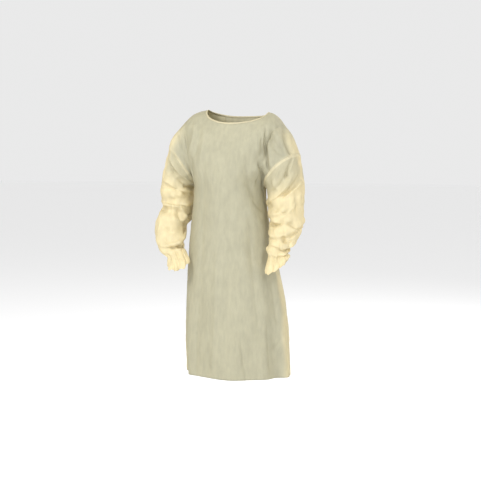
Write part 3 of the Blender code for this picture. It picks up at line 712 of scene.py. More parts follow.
right_half = half_panel("front", RIGHT)
left_half = half_panel("front", LEFT)
front_sheet = np.concatenate((left_half[:, :0:-1], right_half), axis=1)
front_share = np.abs(np.linspace(-1, 1, front_sheet.shape[1]))
front_row, front_share = np.meshgrid(fine_rows(), front_share, indexing="ij")
front_sheet = relaxed(front_sheet, PANEL_EASING)
near = np.minimum(from_edge(front_sheet, "first"), from_edge(front_sheet, "last"))
near = np.minimum(near, from_edge(front_sheet, "top"))
front_sheet = worn(front_sheet, near, seed=11, seen=FRONT_CREASES)
half = front_sheet.shape[1] // 2
left_marks, right_marks = (
    panel_marks(front_sheet[:, part], "front", side, front_share[:, part], front_row[:, part])
    for side, part in ((LEFT, slice(None, half + 1)), (RIGHT, slice(half, None)))
)
front_marks = {
    name: np.concatenate((left_marks[name], right_marks[name][:, 1:]), axis=1) for name in left_marks
}
front = cloth_piece("front_panel", front_sheet, BODY_CLOTH, front_marks)
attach(front, "root")
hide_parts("front")

# Back panels
# Two pieces of the same cloth, one for each side, joined to the front at the shoulders and sides. They
# overlap at the centre back, the right one over the left, and stay open to the hem.

LAYER = 0.0022          # from the middle of one layer to the middle of the next
LIFT_COLUMNS = 2        # the solid's columns over which the upper layer rises
OVERLAP_STIFF = 0.05    # the two layers lie flat on each other, as at a seam
BACK_SEED = 31
RIGHT_BACK_CREASES = in_metres(Crease, 7, (
    (-60, -100, -90, -420, 10, 14, -8),
    (-120, -140, -150, -330, -6, 8, -9.6),
    (-20, -180, -100, -360, 14, 12, 6.4),
    (-60, -500, -90, -1140, 10, 12, -9.6),
    (-110, -560, -160, -1140, -6, 10, 9.6),
    (20, -460, 20, -1100, 4, 12, 7.2),
    (-30, -452, -75, -560, 6, 6, -6.4),
    (-90, -455, -115, -600, -5, 6, -6.4),
))
LEFT_BACK_CREASES = in_metres(Crease, 7, (
    (60, -90, 95, -400, -10, 14, -8),
    (130, -150, 155, -340, 6, 8, -9.6),
    (10, -160, 90, -350, -14, 12, 6.4),
    (90, -520, 110, -1140, -10, 12, -9.6),
    (140, -580, 180, -1140, 6, 10, 9.6),
    (50, -460, 60, -1100, 4, 14, 8),
    (0, -452, 60, -520, 8, 6, -5.6),
    (30, -448, 120, -470, 6, 7, 4.8),
))


def over_lift(share):
    """How far the right back panel is moved out, so that it lies over the left one."""
    return LAYER * ease((OVERLAP_COLUMNS + LIFT_COLUMNS - share * HALF_COLUMNS) / LIFT_COLUMNS)


whole_back = np.concatenate((
    half_panel("back", RIGHT)[:, ::-1],
    half_panel("back", LEFT)[:, 1:],
), axis=1)
whole_back = relaxed(whole_back, PANEL_EASING)
overlap = OVERLAP_COLUMNS * COLUMN_STEPS
middle = HALF_COLUMNS * COLUMN_STEPS
back_grids = {}
for name, side, creases in (("left", LEFT, LEFT_BACK_CREASES), ("right", RIGHT, RIGHT_BACK_CREASES)):
    part = np.s_[:, middle - overlap:] if side is LEFT else np.s_[:, :middle + overlap + 1]
    grid = whole_back[part]
    share = np.linspace(-1, 1, whole_back.shape[1])[part[1]] * side.sign
    row, share = np.meshgrid(fine_rows(), share, indexing="ij")
    near = np.minimum(from_edge(grid, "last" if side is LEFT else "first"), from_edge(grid, "top"))
    near = np.minimum(near, OVERLAP_STIFF * np.clip(share * HALF_COLUMNS - OVERLAP_COLUMNS, 0.0, 1.0))
    grid = worn(grid, near, BACK_SEED, hidden=creases)
    if side is RIGHT:
        grid = grid + outward(grid) * over_lift(share)[..., None]
    back_grids[name] = grid
    marks = panel_marks(grid, "back", side, share, row)
    piece = cloth_piece(f"back_panel_{name}", grid, BODY_CLOTH, marks)
    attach(piece, "root")
    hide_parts(f"back_{name}")

# Sleeves
# A tube of the cloth for each side, sewn to the dropped shoulder, bloused in its lower half. Narrow
# elastic sewn inside gathers it into a cuff and leaves the end as a short ruffle.

RING_POINTS = 2 * UPPER_ROWS
SLEEVE_ROWS = 24
ROUND_STEPS = 5
ALONG_STEPS = 7
RUFFLE_WAVES = 8
RUFFLE_DEPTH = 0.0032
FLUTTER_COUNTS, FLUTTER_DEPTH = (5, 11, 14), 0.0044
HEM_SWAY, HEM_SWAY_SIZE = 0.0038, 0.035
PLEAT_COUNTS, PLEAT_DEPTH = (17, 23, 31), 0.0022
PLEATS_REACH = 0.075    # share of the sleeve's length, to either side of the elastic
PLEAT_DRIFTS, PLEAT_DRIFT = 3, 25       # times round the cuff, and by how many degrees
GATHER_DEPTH = 0.0025
GATHERS_FROM = 0.70
GATHERS_GROW_OVER = 0.10
RUFFLE_TURN = 60
ELASTIC_ALONG = 0.85
FOLDS_START_BY = 0.10
INNER_LEAVES = (0.35, 0.0, 0.25)
INNER_WIDTH = 40
CLOSER_AT_SEAM = 0.55

# A sleeve below its seam: centre of each ring, its half sizes across and deep, and how far it tilts
Ring = namedtuple("Ring", "x y z across deep tilt nod")
LEFT_RINGS = in_metres(Ring, 5, (
    (243, 0, -330, 83, 86, 28, 0),
    (240, 2, -385, 81, 85, 16, 0),
    (246, -4, -440, 75, 83, 6, 6),
    (255, -30, -495, 70, 79, 0, 16),
    (256, -52, -535, 66, 76, -4, 24),
    (250, -64, -560, 58, 64, -6, 26),
    (236, -78, -578, 42, 48, -6, 26),
    (238, -86, -594, 49, 52, -6, 26),
    (237, -94, -610, 37, 40, 0, 26),
    (242, -103, -634, 48, 50, 14, 26),
    (242, -111, -660, 50, 53, 28, 26),
))
RIGHT_RINGS = in_metres(Ring, 5, (
    (-257, 0, -310, 74, 83, -24, 0),
    (-259, 2, -375, 75, 84, -12, 0),
    (-262, -4, -425, 71, 81, -4, 6),
    (-272, -24, -475, 75, 82, 0, 14),
    (-273, -44, -522, 73, 80, 4, 22),
    (-264, -64, -556, 66, 70, 12, 28),
    (-252, -80, -588, 55, 58, 18, 28),
    (-240, -90, -604, 46, 48, 18, 28),
    (-226, -107, -619, 37, 40, 16, 28),
    (-207, -127, -644, 43, 46, 10, 28),
    (-196, -144, -668, 45, 48, 4, 28),
))
RING_ALONG = (0.10, 0.24, 0.36, 0.48, 0.58, 0.66, 0.73, 0.79, ELASTIC_ALONG, 0.92, 1.00)

# Folds of a sleeve: middle of each, along it and round it in degrees (0 outside, 90 front, 180 inside)
Fold = namedtuple("Fold", "along around length width slant depth")
LEFT_FOLDS = [Fold(*row) for row in (
    (0.20, 95, 75, 0.050, 0.10, -0.010),
    (0.31, 70, 80, 0.045, 0.10, 0.009),
    (0.42, 150, 60, 0.035, -0.05, -0.011),
    (0.50, 85, 95, 0.026, 0.05, 0.010),
    (0.555, 85, 95, 0.026, 0.05, -0.010),
    (0.64, 60, 70, 0.030, -0.04, 0.008),
    (0.36, 260, 80, 0.045, 0.06, -0.010),
    (0.50, 285, 70, 0.040, -0.06, 0.009),
    (0.60, 250, 80, 0.035, 0.04, -0.008),
)]
RIGHT_FOLDS = [Fold(*row) for row in (
    (0.17, 90, 70, 0.045, -0.10, 0.008),
    (0.25, 120, 75, 0.030, -0.06, -0.010),
    (0.31, 125, 75, 0.028, -0.03, 0.010),
    (0.37, 60, 85, 0.034, 0.04, -0.010),
    (0.44, 110, 80, 0.034, 0.06, 0.008),
    (0.56, 150, 50, 0.050, 0.02, -0.010),
    (0.68, 130, 70, 0.024, 0.05, 0.009),
    (0.72, 130, 70, 0.024, 0.05, -0.008),
    (0.30, 270, 80, 0.045, 0.06, -0.010),
    (0.46, 250, 70, 0.045, -0.06, 0.009),
    (0.60, 280, 80, 0.035, 0.04, -0.008),
)]

LEFT_CREASES = in_metres(Crease, 7, (
    (262, -205, 238, -290, 4, 4, 6),
    (250, -215, 222, -300, 4, 5, -6),
    (205, -245, 182, -300, 3, 4, 4.5),
    (272, -395, 190, -470, -6, 4.5, 6),
    (245, -560, 238, -600, 3, 3.5, -5),
    (200, -562, 208, -600, 3, 3.5, 5),
    (256, -272, 164, -391, -8, 6, 8.8),
    (236, -258, 155, -360, -8, 7, -9.6),
    (292, -302, 215, -378, -6, 5.5, 8),
    (284, -275, 205, -372, -6, 6, -9.6),
    (285, -215, 290, -300, 6, 7, -6.4),
    (160, -489, 215, -478, 8, 5, -12.8),
    (210, -478, 284, -512, -6, 5, -11.2),
    (165, -475, 250, -470, 10, 7, 8),
    (280, -522, 226, -553, -5, 6, 9.6),
    (212, -552, 252, -552, 4, 6, -16),
    (288, -330, 292, -480, 6, 7, 5.6),
    (262, -340, 268, -450, -4, 9, -4.8),
    (150, -405, 240, -445, 8, 7, -8),
    (155, -450, 225, -425, 6, 7, 7.2),
    (180, -510, 195, -560, 4, 6, 6.4),
    (215, -505, 212, -560, 4, 6, -6.4),
    (170, -300, 190, -345, 4, 6, 6.4),
))
LEFT_FAR_CREASES = in_metres(Crease, 7, (
    (240, -300, 320, -390, 10, 8, -9.6),
    (250, -360, 330, -410, 8, 7, 8),
    (230, -440, 320, -420, -8, 7, -11.2),
    (220, -480, 310, -500, 8, 6, 9.6),
    (220, -530, 300, -520, 6, 6, -11.2),
    (260, -240, 300, -330, -6, 8, 6.4),
))
RIGHT_CREASES = in_metres(Crease, 7, (
    (-262, -180, -222, -255, 6, 4.5, -6),
    (-276, -192, -240, -270, 6, 4.5, 5.5),
    (-232, -200, -188, -270, 5, 4.5, 5),
    (-296, -262, -252, -300, 4, 4.5, 5),
    (-316, -500, -262, -540, 5, 5, -5.5),
    (-262, -405, -252, -480, 5, 5, 5),
    (-272, -218, -179, -318, 10, 5.5, 9.6),
    (-278, -240, -205, -325, 8, 8, -10.4),
    (-213, -332, -170, -338, 3, 6, -16),
    (-302, -309, -239, -348, -3, 5, 8.8),
    (-239, -348, -184, -354, 3, 5, 9.6),
    (-300, -332, -190, -376, -8, 6, -9.6),
    (-300, -400, -205, -428, -6, 6, -12),
    (-325, -430, -290, -438, 3, 7, -12.8),
    (-318, -455, -330, -540, -6, 9, 8),
    (-226, -420, -189, -482, 6, 5, 9.6),
    (-245, -430, -205, -520, 6, 6, -8),
    (-186, -455, -213, -540, 6, 6, -14.4),
    (-288, -588, -221, -574, 4, 5.5, 11.2),
    (-245, -592, -192, -586, 3, 5, -12.8),
    (-270, -450, -262, -560, 5, 10, 5.6),
    (-262, -370, -232, -400, 4, 6, 6.4),
    (-300, -560, -255, -605, 4, 6, -6.4),
))
RIGHT_FAR_CREASES = in_metres(Crease, 7, (
    (-240, -300, -310, -380, -10, 8, -9.6),
    (-250, -360, -320, -400, -8, 7, 8),
    (-230, -430, -310, -420, 8, 7, -11.2),
    (-220, -480, -320, -490, -8, 6, 9.6),
    (-230, -540, -310, -520, -6, 6, -11.2),
    (-250, -240, -290, -320, 6, 8, 6.4),
))
SLEEVE_CRUMPLE = 0.0022
SLEEVE_EASING = 3

# Next to its seam the sleeve is muted by painted shade, but for its outer side
LEAST_UNSHADED = 0.27
MUTED_EDGE_TURN = 45    # degrees round the sleeve
MUTED_EDGE_SWAY, MUTED_EDGE_SWAY_SIZE, MUTED_EDGE_SEED = 14, 0.06, 5
CLEARS_FROM = 0.02      # share of the sleeve's length
CLEARS_SWAY, CLEARS_SWAY_SIZE, CLEARS_SEED = 0.02, 0.08, 3
SLEEVE_TURN_IN, SLEEVE_TURN_IN_FADES = 0.0126, 0.003
SLEEVE_DOUBLED = 0.75


def ring_points(ring, turn):
    """Points round one of the table's rings."""
    sign = 1 if ring.x > 0 else -1
    turn, tilt, nod = np.radians(turn), math.radians(ring.tilt), math.radians(ring.nod)
    across = sign * ring.across * np.cos(turn)
    deep = -ring.deep * np.sin(turn)
    return point(
        ring.x + across * math.cos(tilt),
        ring.y + deep * math.cos(nod),
        ring.z + across * math.sin(tilt) + deep * math.sin(nod),
    )


def sleeve_sheet(side, rings, folds):
    """The sleeve's sheet, how far along it each row lies and how far round each column, in degrees."""
    turn = 360 * np.arange(RING_POINTS * ROUND_STEPS) / (RING_POINTS * ROUND_STEPS)
    along = np.arange(SLEEVE_ROWS * ALONG_STEPS + 1) / (SLEEVE_ROWS * ALONG_STEPS)
    along = along * (1 - CLOSER_AT_SEAM * (1 - along) ** 3)
    knots = (0.0, *RING_ALONG)
    table = [seam_ring(side, turn)] + [ring_points(r, turn) for r in rings]
    leave = hump((turn - 180) / INNER_WIDTH)[:, None] * np.array(INNER_LEAVES) * (side.sign, 1, 1)
    points = smooth_through(knots, table, along, leave)
    seam_centre = np.mean(seam_ring(side, np.array((0, 90, 180, 270))), axis=0)
    centre = smooth_through(knots, [seam_centre] + [np.array(r[:3]) for r in rings], along)
    out = points - centre[:, None]
    out /= np.linalg.norm(out, axis=-1, keepdims=True)
    along, turn = np.meshgrid(along, turn, indexing="ij")
    push = 0.0
    for fold in folds:
        away = (turn - fold.around + 180) % 360 - 180
        off = along - fold.along - fold.slant * away / 90
        push = push + fold.depth * hump(away / fold.length) * hump(off / fold.width)
    push = push * ease(along / FOLDS_START_BY)
    gather = ease((along - GATHERS_FROM) / GATHERS_GROW_OVER)
    wave = GATHER_DEPTH * gather + RUFFLE_DEPTH * past_elastic(along)
    push += wave * np.cos(np.radians(RUFFLE_WAVES * turn + RUFFLE_TURN * side.sign))
    points = points + out * push[..., None]
    if side is RIGHT:
        points, along, turn = points[:, ::-1], along[:, ::-1], turn[:, ::-1]
    return points, along, turn


def past_elastic(along):
    return ease((along - ELASTIC_ALONG) / (1 - ELASTIC_ALONG))


def fine_gathers(along, turn, seed):
    """Small uneven pleats that the elastic draws up, and the looser flutter of the ruffle."""
    random = np.random.default_rng(seed)
    near_elastic = hump((along - ELASTIC_ALONG) / PLEATS_REACH)
    pleats = 0.0
    for count in PLEAT_COUNTS:
        drift = PLEAT_DRIFT * np.sin(np.radians(turn * PLEAT_DRIFTS + random.uniform(0, 360)))
        pleats = pleats + np.cos(np.radians(count * turn + drift + random.uniform(0, 360)))
    flutter = 0.0
    for count in FLUTTER_COUNTS:
        flutter = flutter + np.cos(np.radians(count * turn + random.uniform(0, 360)))
    pleats = PLEAT_DEPTH * near_elastic * pleats / len(PLEAT_COUNTS)
    return pleats + FLUTTER_DEPTH * past_elastic(along) * flutter / len(FLUTTER_COUNTS)


def uneven_end(grid, along, seed):
    """The sleeve with its cut end a little longer in some places than in others."""
    down = np.gradient(grid, axis=0)
    down /= np.linalg.norm(down, axis=-1, keepdims=True)
    longer = HEM_SWAY * past_elastic(along) * uneven(grid, HEM_SWAY_SIZE, seed)
    return grid + down * longer[..., None]


SLEEVE_CLOTH = cloth_material("sleeve_cloth", clouds=55.0)
sleeves = []
for name, side, rings, folds, creases, far, muted_from, clears_over, seed in (
    ("left", LEFT, LEFT_RINGS, LEFT_FOLDS, LEFT_CREASES, LEFT_FAR_CREASES, 35, 0.17, 51),
    ("right", RIGHT, RIGHT_RINGS, RIGHT_FOLDS, RIGHT_CREASES, RIGHT_FAR_CREASES, 75, 0.12, 61),
):
    grid, along, turn = sleeve_sheet(side, rings, folds)
    grid = relaxed(grid, SLEEVE_EASING, around=True)
    grid = grid + outward(grid, True) * fine_gathers(along, turn, seed)[..., None]
    grid = uneven_end(grid, along, seed + 5)
    seam_distance = from_edge(grid, "top")
    grid = worn(grid, seam_distance, seed, SLEEVE_CRUMPLE, creases, far, around=True)
    edge_sway = MUTED_EDGE_SWAY * uneven(grid, MUTED_EDGE_SWAY_SIZE, MUTED_EDGE_SEED)
    from_outside = np.abs((turn + 180) % 360 - 180) + edge_sway
    clear_outside = ease((muted_from - from_outside) / MUTED_EDGE_TURN)
    below = along - CLEARS_FROM + CLEARS_SWAY * uneven(grid, CLEARS_SWAY_SIZE, CLEARS_SEED)
    clear = np.maximum(clear_outside, ease(below / clears_over))
    marks = {
        "unshaded": LEAST_UNSHADED + (1 - LEAST_UNSHADED) * clear,
        "doubled": SLEEVE_DOUBLED * ease((SLEEVE_TURN_IN - seam_distance) / SLEEVE_TURN_IN_FADES),
    }
    piece = cloth_piece(f"sleeve_tube_{name}", grid, SLEEVE_CLOTH, marks, around=True)
    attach(piece, "root")
    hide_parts(f"sleeve_{name}")
    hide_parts(f"cuff_{name}")
    sleeves.append(grid)

# Neck binding
# A narrow strip of the same cloth, folded over the raw edge round the neck and sewn down through all its
# layers. It runs from the outer back panel's edge to the inner one's.

# The folded strip's section: out of the cloth, and up past its edge
BINDING_PROFILE = (
    (-0.00150, -0.0030),
    (-0.00150, 0.0010),
    (-0.00130, 0.0034),
    (-0.00030, 0.0046),
    (0.00070, 0.0034),
    (0.00090, 0.0010),
    (0.00090, -0.0030),
)
BINDING_WAVER, WAVER_SIZE = 0.0004, 0.02
BINDING_MARK = 0.4
NECK_OPENING = np.array((NECK_SHIFT, 0.0, 0.10))     # a place above the opening's middle
TURN_EASING = 6
EDGE_CLOTH = cloth_material("edge_cloth", clouds=120.0, bump=0.3)
neck = NECK_COLUMNS * COLUMN_STEPS


def even_marks(grid, share):
    """Marks for a narrow strip: painted shade and doubling are the same all over it."""
    return {mark: np.full(grid.shape[:2], share) for mark in ("unshaded", "doubled")}


def along_neck(of_left, of_front, of_right):
    """The panels' top edges round the neck, from the inner back edge to the outer one."""
    return np.concatenate((
        of_left[0, :overlap + neck],
        of_front[0, half - neck:half + neck + 1],
        of_right[0, middle - neck + 1:middle + overlap + 1],
    ))


neck_edge = along_neck(back_grids["left"], front_sheet, back_grids["right"])
neck_out = along_neck(*(outward(g) for g in (back_grids["left"], front_sheet, back_grids["right"])))
for _ in range(TURN_EASING):
    neck_out[1:-1] = (neck_out[:-2] + 2 * neck_out[1:-1] + neck_out[2:]) / 4
neck_out /= np.linalg.norm(neck_out, axis=1, keepdims=True)
neck_up = np.cross(neck_out, np.gradient(neck_edge, axis=0))
inwards = np.sum(neck_up * (NECK_OPENING - neck_edge), axis=1, keepdims=True)
neck_up *= np.sign(inwards) / np.linalg.norm(neck_up, axis=1, keepdims=True)
waver = BINDING_WAVER * uneven(neck_edge, WAVER_SIZE, seed=71)[:, None]
binding_grid = np.array([neck_edge + neck_out * o + neck_up * (u + waver) for o, u in BINDING_PROFILE])
binding = cloth_piece("neck_edge_binding", binding_grid, EDGE_CLOTH, even_marks(binding_grid, BINDING_MARK))
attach(binding, "root")
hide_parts("neck_binding")

# Waist ties
# Two flat strips sewn to the back panels, tied once to the left of the centre back, with loose
# tails. The knot is the strips wrapped round each other.

TIE_WIDTH = 0.016
TIE_DROP = 0.450
TIE_TAIL = 0.220
TIE_SWING = 0.006
TIE_BEND = 0.8 * TIE_WIDTH
TIE_RIGHT_SEWN_AT = 0.028
TIE_LEFT_SEWN_AT = 0.125
TIE_KNOT_AT = 0.078
TIE_SPREAD = 0.7 * TIE_WIDTH
TIE_STEPS = 24
TIE_BEND_STEPS = 12
TIE_TAIL_STEPS = 70
TIE_ACROSS_STEPS = 8
TIE_CLEAR = 0.0016
TIE_RIPPLE, TIE_RIPPLE_SIZE = 0.0012, 0.03
TIE_PINCH, TIE_PINCH_REACH = 0.35, 0.02     # the knot draws each tie in
TIE_MARK = 0.5

# Each wrap of the knot: points round it and rows across it, and its small pleats
WRAP_POINTS, WRAP_ROWS = 60, 13
WRAP_FLATTENS = 0.75
WRAP_PLEATS, WRAP_PLEAT_DEPTH, WRAP_PLEAT_LEAN = 9, 0.0005, 5
KNOT_OUT = 0.0050


def on_back(x, z):
    """The outermost cloth of the back at places x across and z up."""
    found = []
    for grid in back_grids.values():
        below = grid[UPPER_ROWS * UPPER_STEPS:]
        level = np.interp(-z, -below[:, below.shape[1] // 2, 2], np.arange(len(below)))
        low = np.clip(level.astype(int), 0, len(below) - 2)
        part = level - low
        near = [np.array([np.interp(a, below[i, :, 0], below[i, :, 1], -1, -1) for a, i in zip(x, rows)])
                for rows in (low, low + 1)]
        found.append(near[0] * (1 - part) + near[1] * part)
    return point(x, np.max(found, axis=0), z)


def tie_grid(sewn_at, corner_at, seed):
    """A flat tie: from its sewn end along the back, round a corner, and down as a loose tail."""
    way = 1 if corner_at > sewn_at else -1
    turned = corner_at - way * TIE_BEND
    level = np.linspace(sewn_at, turned, TIE_STEPS, endpoint=False)
    bend = np.radians(np.linspace(0, 90, TIE_BEND_STEPS, endpoint=False))
    tail = np.linspace(0, 1, TIE_TAIL_STEPS)
    across = np.concatenate((
        level,
        turned + way * TIE_BEND * np.sin(bend),
        corner_at - way * TIE_SWING * np.sin(np.pi * tail),
    ))
    down = np.concatenate((
        np.full(TIE_STEPS, TIE_DROP),
        TIE_DROP + TIE_BEND * (1 - np.cos(bend)),
        TIE_DROP + TIE_BEND + TIE_TAIL * tail,
    ))
    turn = np.concatenate((np.zeros(TIE_STEPS), bend, np.full(TIE_TAIL_STEPS, math.pi / 2)))
    from_knot = np.hypot(across - TIE_KNOT_AT, down - TIE_DROP)
    pinch = 1 - TIE_PINCH * hump(from_knot / TIE_PINCH_REACH)
    rows = []
    for k in np.linspace(0.5, -0.5, TIE_ACROSS_STEPS + 1):
        x = across + way * np.sin(turn) * TIE_WIDTH * pinch * k
        z = -down + np.cos(turn) * TIE_WIDTH * pinch * k
        rows.append(on_back(x, z))
    grid = np.array(rows).swapaxes(0, 1)
    grid[..., 1] = np.maximum(grid[..., 1], grid[..., 1].mean(axis=1, keepdims=True))
    ripple = TIE_RIPPLE * (1 + uneven(grid, TIE_RIPPLE_SIZE, seed))
    grid[..., 1] += TIE_CLEAR + ripple
    return grid[::-1] if way < 0 else grid


def wrap_grid(lean, reach, depth, width, centre):
    """A band of cloth wrapped round the ties, leaning to one side."""
    turn = math.tau * np.arange(WRAP_POINTS) / WRAP_POINTS
    rows = []
    for k in np.linspace(-1, 1, WRAP_ROWS):
        swell = math.sqrt(1 - WRAP_FLATTENS * k * k)
        pleat = WRAP_PLEAT_DEPTH * np.cos(WRAP_PLEATS * turn + WRAP_PLEAT_LEAN * k)
        up = (reach * swell + pleat) * np.sin(turn)
        out = (depth * swell + pleat) * np.cos(turn)
        aside = np.full_like(turn, width * k / 2)
        x = aside * math.cos(lean) + up * math.sin(lean)
        z = up * math.cos(lean) - aside * math.sin(lean)
        rows.append(point(x, out, z) + centre)
    return np.array(rows)


ties = {
    "right": tie_grid(TIE_RIGHT_SEWN_AT, TIE_KNOT_AT - TIE_SPREAD, 81),
    "left": tie_grid(TIE_LEFT_SEWN_AT, TIE_KNOT_AT + TIE_SPREAD, 82),
}
for name, grid in ties.items():
    tie = cloth_piece(f"tie_strip_{name}", grid, EDGE_CLOTH, even_marks(grid, TIE_MARK))
    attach(tie, "root")
    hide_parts(f"waist_tie_{name}")
knot_centre = on_back(np.array([TIE_KNOT_AT]), np.array([-TIE_DROP]))[0] + (0, KNOT_OUT, 0)
for name, lean, reach, depth, width in (
    ("upper", 0.5, 0.0120, 0.0042, 0.016),
    ("lower", -0.6, 0.0105, 0.0036, 0.015),
):
    grid = wrap_grid(lean, reach, depth, width, knot_centre)
    wrap = cloth_piece(f"knot_wrap_{name}", grid, EDGE_CLOTH, even_marks(grid, TIE_MARK), around=True)
    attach(wrap, "root")
    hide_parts("waist_knot")

# Stitches
# A row of short thread stitches beside each sewn seam: round both sleeves, down both sides, along both
# shoulders and through the neck binding. The thread is the cloth's own pale yellow.

STITCH_PITCH = 0.0042
STITCH_LENGTH = 0.0030
THREAD_RADIUS = 0.00022
STITCH_OUT = 0.0002
STITCH_UNEVENNESS, STITCH_SEED = 0.12, 5
STITCHES_FROM_SEAM = 2      # rows or columns of the cloth between a seam and its stitches
SLEEVE_STITCH_ROW = 3
THREAD_SHADED, THREAD_LIT = (0.70, 0.63, 0.42, 1), (0.90, 0.84, 0.62, 1)

THREAD = bpy.data.materials.new("thread")
THREAD.use_nodes = True
thread_tree = THREAD.node_tree
thread_place = node(thread_tree, "ShaderNodeTexCoord")
# Painted light and shade along the thread: noise mixes its shaded and lit yellows.
twist_shading = node(thread_tree, "ShaderNodeTexNoise", {"Vector": (thread_place, "Object"), "Scale": 900.0})
thread_yellow = mixed(thread_tree, (twist_shading, "Fac"), THREAD_SHADED, THREAD_LIT)
thread_look = {"Base Color": (thread_yellow, "Result"), "Roughness": 0.6}
feed(thread_tree.nodes["Principled BSDF"], thread_look)


def stitch_tree():
    """Geometry Nodes tree: short stitches along the object's lines."""
    inputs = {"Geometry": "Geometry", **dict.fromkeys(("Pitch", "Length", "Radius", "Unevenness"), "Float")}
    inputs.update(Seed="Int", Thread="Material")
    tree, start, end = node_group("stitch_line", "GeometryNodeTree", inputs, {"Geometry": "Geometry"})
    curve = node(tree, "GeometryNodeMeshToCurve", {"Mesh": (start, "Geometry")})
    places = node(tree, "GeometryNodeCurveToPoints", {
        "Curve": (curve, "Curve"),
        "Length": (start, "Pitch"),
    }, mode="LENGTH")
    stitch = node(tree, "GeometryNodeMeshCylinder", {
        "Vertices": 6,
        "Radius": (start, "Radius"),
        "Depth": (start, "Length"),
    })
    turn = node(tree, "FunctionNodeAlignRotationToVector", {"Vector": (places, "Tangent")}, axis="Z")
    unevenness = {0: 1.0, 1: (start, "Unevenness")}
    shortest = node(tree, "ShaderNodeMath", unevenness, operation="SUBTRACT")
    longest = node(tree, "ShaderNodeMath", unevenness, operation="ADD")
    uneven_size = node(tree, "FunctionNodeRandomValue", {
        "Min": (shortest, "Value"),
        "Max": (longest, "Value"),
        "Seed": (start, "Seed"),
    }, data_type="FLOAT")
    instances = node(tree, "GeometryNodeInstanceOnPoints", {
        "Points": (places, "Points"),
        "Instance": (stitch, "Mesh"),
        "Rotation": (turn, "Rotation"),
        "Scale": (uneven_size, "Value"),
    })
    real = node(tree, "GeometryNodeRealizeInstances", {"Geometry": (instances, "Instances")})
    paint = node(tree, "GeometryNodeSetMaterial", {
        "Geometry": (real, "Geometry"),
        "Material": (start, "Thread"),
    })
    feed(end, {"Geometry": (paint, "Geometry")})
    return tree


STITCHES = stitch_tree()


def stitch_lines(name, lines):
    """One piece of thread stitches along lines of points, each a pair: points and whether it closes."""
    points, edges = [], []
    for line, closed in lines:
        first, count = len(points), len(line)
        points += line.tolist()
        edges += [(first + k, first + k + 1) for k in range(count - 1)]
        if closed:
            edges.append((first + count - 1, first))
    mesh = bpy.data.meshes.new(f"{name}_lines")
    mesh.from_pydata(points, edges, [])
    guide = add_object(mesh.name, mesh)
    sewing = guide.modifiers.new("stitches", "NODES")
    sewing.node_group = STITCHES
    inputs = {
        "Pitch": STITCH_PITCH,
        "Length": STITCH_LENGTH,
        "Radius": THREAD_RADIUS,
        "Unevenness": STITCH_UNEVENNESS,
        "Seed": STITCH_SEED,
        "Thread": THREAD,
    }
    for item in STITCHES.interface.items_tree:
        if item.in_out == "INPUT" and item.name in inputs:
            sewing[item.identifier] = inputs[item.name]
    guide.update_tag()
    bpy.context.view_layer.update()
    made = bpy.data.meshes.new_from_object(guide.evaluated_get(bpy.context.evaluated_depsgraph_get()))
    made.name = name
    bpy.data.objects.remove(guide, do_unlink=True)
    made.shade_smooth()
    piece = add_object(name, made)
    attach(piece, "root")
    return piece


def beside(grid, rows, columns, around=False):
    """A line of the sheet, raised just clear of the cloth."""
    return (grid + outward(grid, around) * STITCH_OUT)[rows, columns]


body_rows = slice(UPPER_ROWS * UPPER_STEPS, None)
stitch_lines("sleeve_seam_stitches", [
    (beside(grid, SLEEVE_STITCH_ROW, slice(None), around=True), True) for grid in sleeves
])
stitch_lines("side_seam_stitches", [
    (beside(front_sheet, body_rows, STITCHES_FROM_SEAM), False),
    (beside(front_sheet, body_rows, -1 - STITCHES_FROM_SEAM), False),
])
stitch_lines("shoulder_stitches", [
    (beside(front_sheet, STITCHES_FROM_SEAM, slice(STITCHES_FROM_SEAM, half - neck)), False),
    (beside(front_sheet, STITCHES_FROM_SEAM, slice(half + neck, -STITCHES_FROM_SEAM)), False),
])
stitch_lines("binding_stitches", [(beside(binding_grid, -2, slice(None)), False)])

# Studio
# A plain pale floor and soft light from large lamps, with the camera at the photograph's angle.

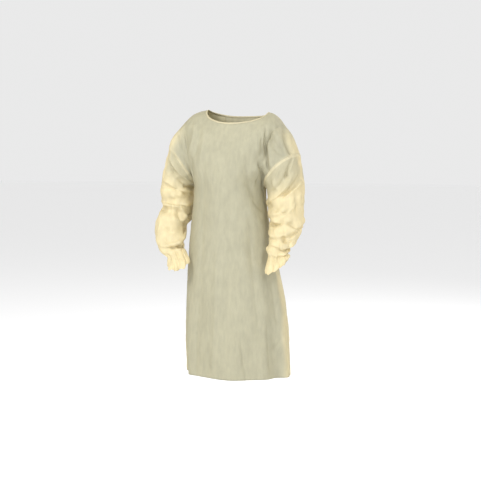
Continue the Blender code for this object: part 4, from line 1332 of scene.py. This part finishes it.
FLOOR_HEIGHT = -1.46
FLOOR_REACH = 40.0
FLOOR_WHITE = (0.98, 0.98, 0.98, 1)
ROOM_WHITE, ROOM_LIGHT = (1.0, 1.0, 1.0, 1), 0.82
VIEW_RISE = math.radians(5.2)
VIEW_DISTANCE = 4.5
AIM_ASIDE, AIM_HEIGHT = 0.0345, -0.607
AIM = Vector(ACROSS_VIEW) * AIM_ASIDE + Vector((0, 0, AIM_HEIGHT))
LENS, SENSOR = 74, 36

floor_mesh = bpy.data.meshes.new("floor")
signs = ((-1, -1), (1, -1), (1, 1), (-1, 1))
floor_corners = [(x * FLOOR_REACH, y * FLOOR_REACH, FLOOR_HEIGHT) for x, y in signs]
floor_mesh.from_pydata(floor_corners, [], [(0, 1, 2, 3)])
floor = add_object("floor", floor_mesh)
floor_paint = bpy.data.materials.new("floor_paint")
floor_paint.use_nodes = True
feed(floor_paint.node_tree.nodes["Principled BSDF"], {"Base Color": FLOOR_WHITE, "Roughness": 0.9})
floor_mesh.materials.append(floor_paint)

world = bpy.data.worlds.new("studio")
world.use_nodes = True
feed(world.node_tree.nodes["Background"], {"Color": ROOM_WHITE, "Strength": ROOM_LIGHT})
bpy.context.scene.world = world
bpy.context.scene.view_settings.view_transform = "Standard"


def lamp(name, place, size, power):
    """A round soft lamp that points at the gown."""
    data = bpy.data.lights.new(name, "AREA")
    data.shape = "DISK"
    data.size = size
    data.energy = power
    light = add_object(name, data)
    light.location = place
    light.rotation_mode = "QUATERNION"
    light.rotation_quaternion = (AIM - Vector(place)).to_track_quat("-Z", "Y")


lamp("key_lamp", place=(-1.9, -3.1, 2.1), size=1.3, power=97)
lamp("fill_lamp", place=(2.6, -2.4, 1.6), size=2.0, power=50)
lamp("back_lamp", place=(1.5, 3.0, 1.9), size=1.2, power=62)

camera_data = bpy.data.cameras.new("camera")
camera_data.lens = LENS
camera_data.sensor_width = SENSOR
camera = add_object("camera", camera_data)
back_off = Vector(TOWARDS_VIEW) * math.cos(VIEW_RISE) + Vector((0, 0, math.sin(VIEW_RISE)))
camera.location = AIM + back_off * VIEW_DISTANCE
camera.rotation_mode = "QUATERNION"
camera.rotation_quaternion = (-back_off).to_track_quat("-Z", "Y")
bpy.context.scene.camera = camera
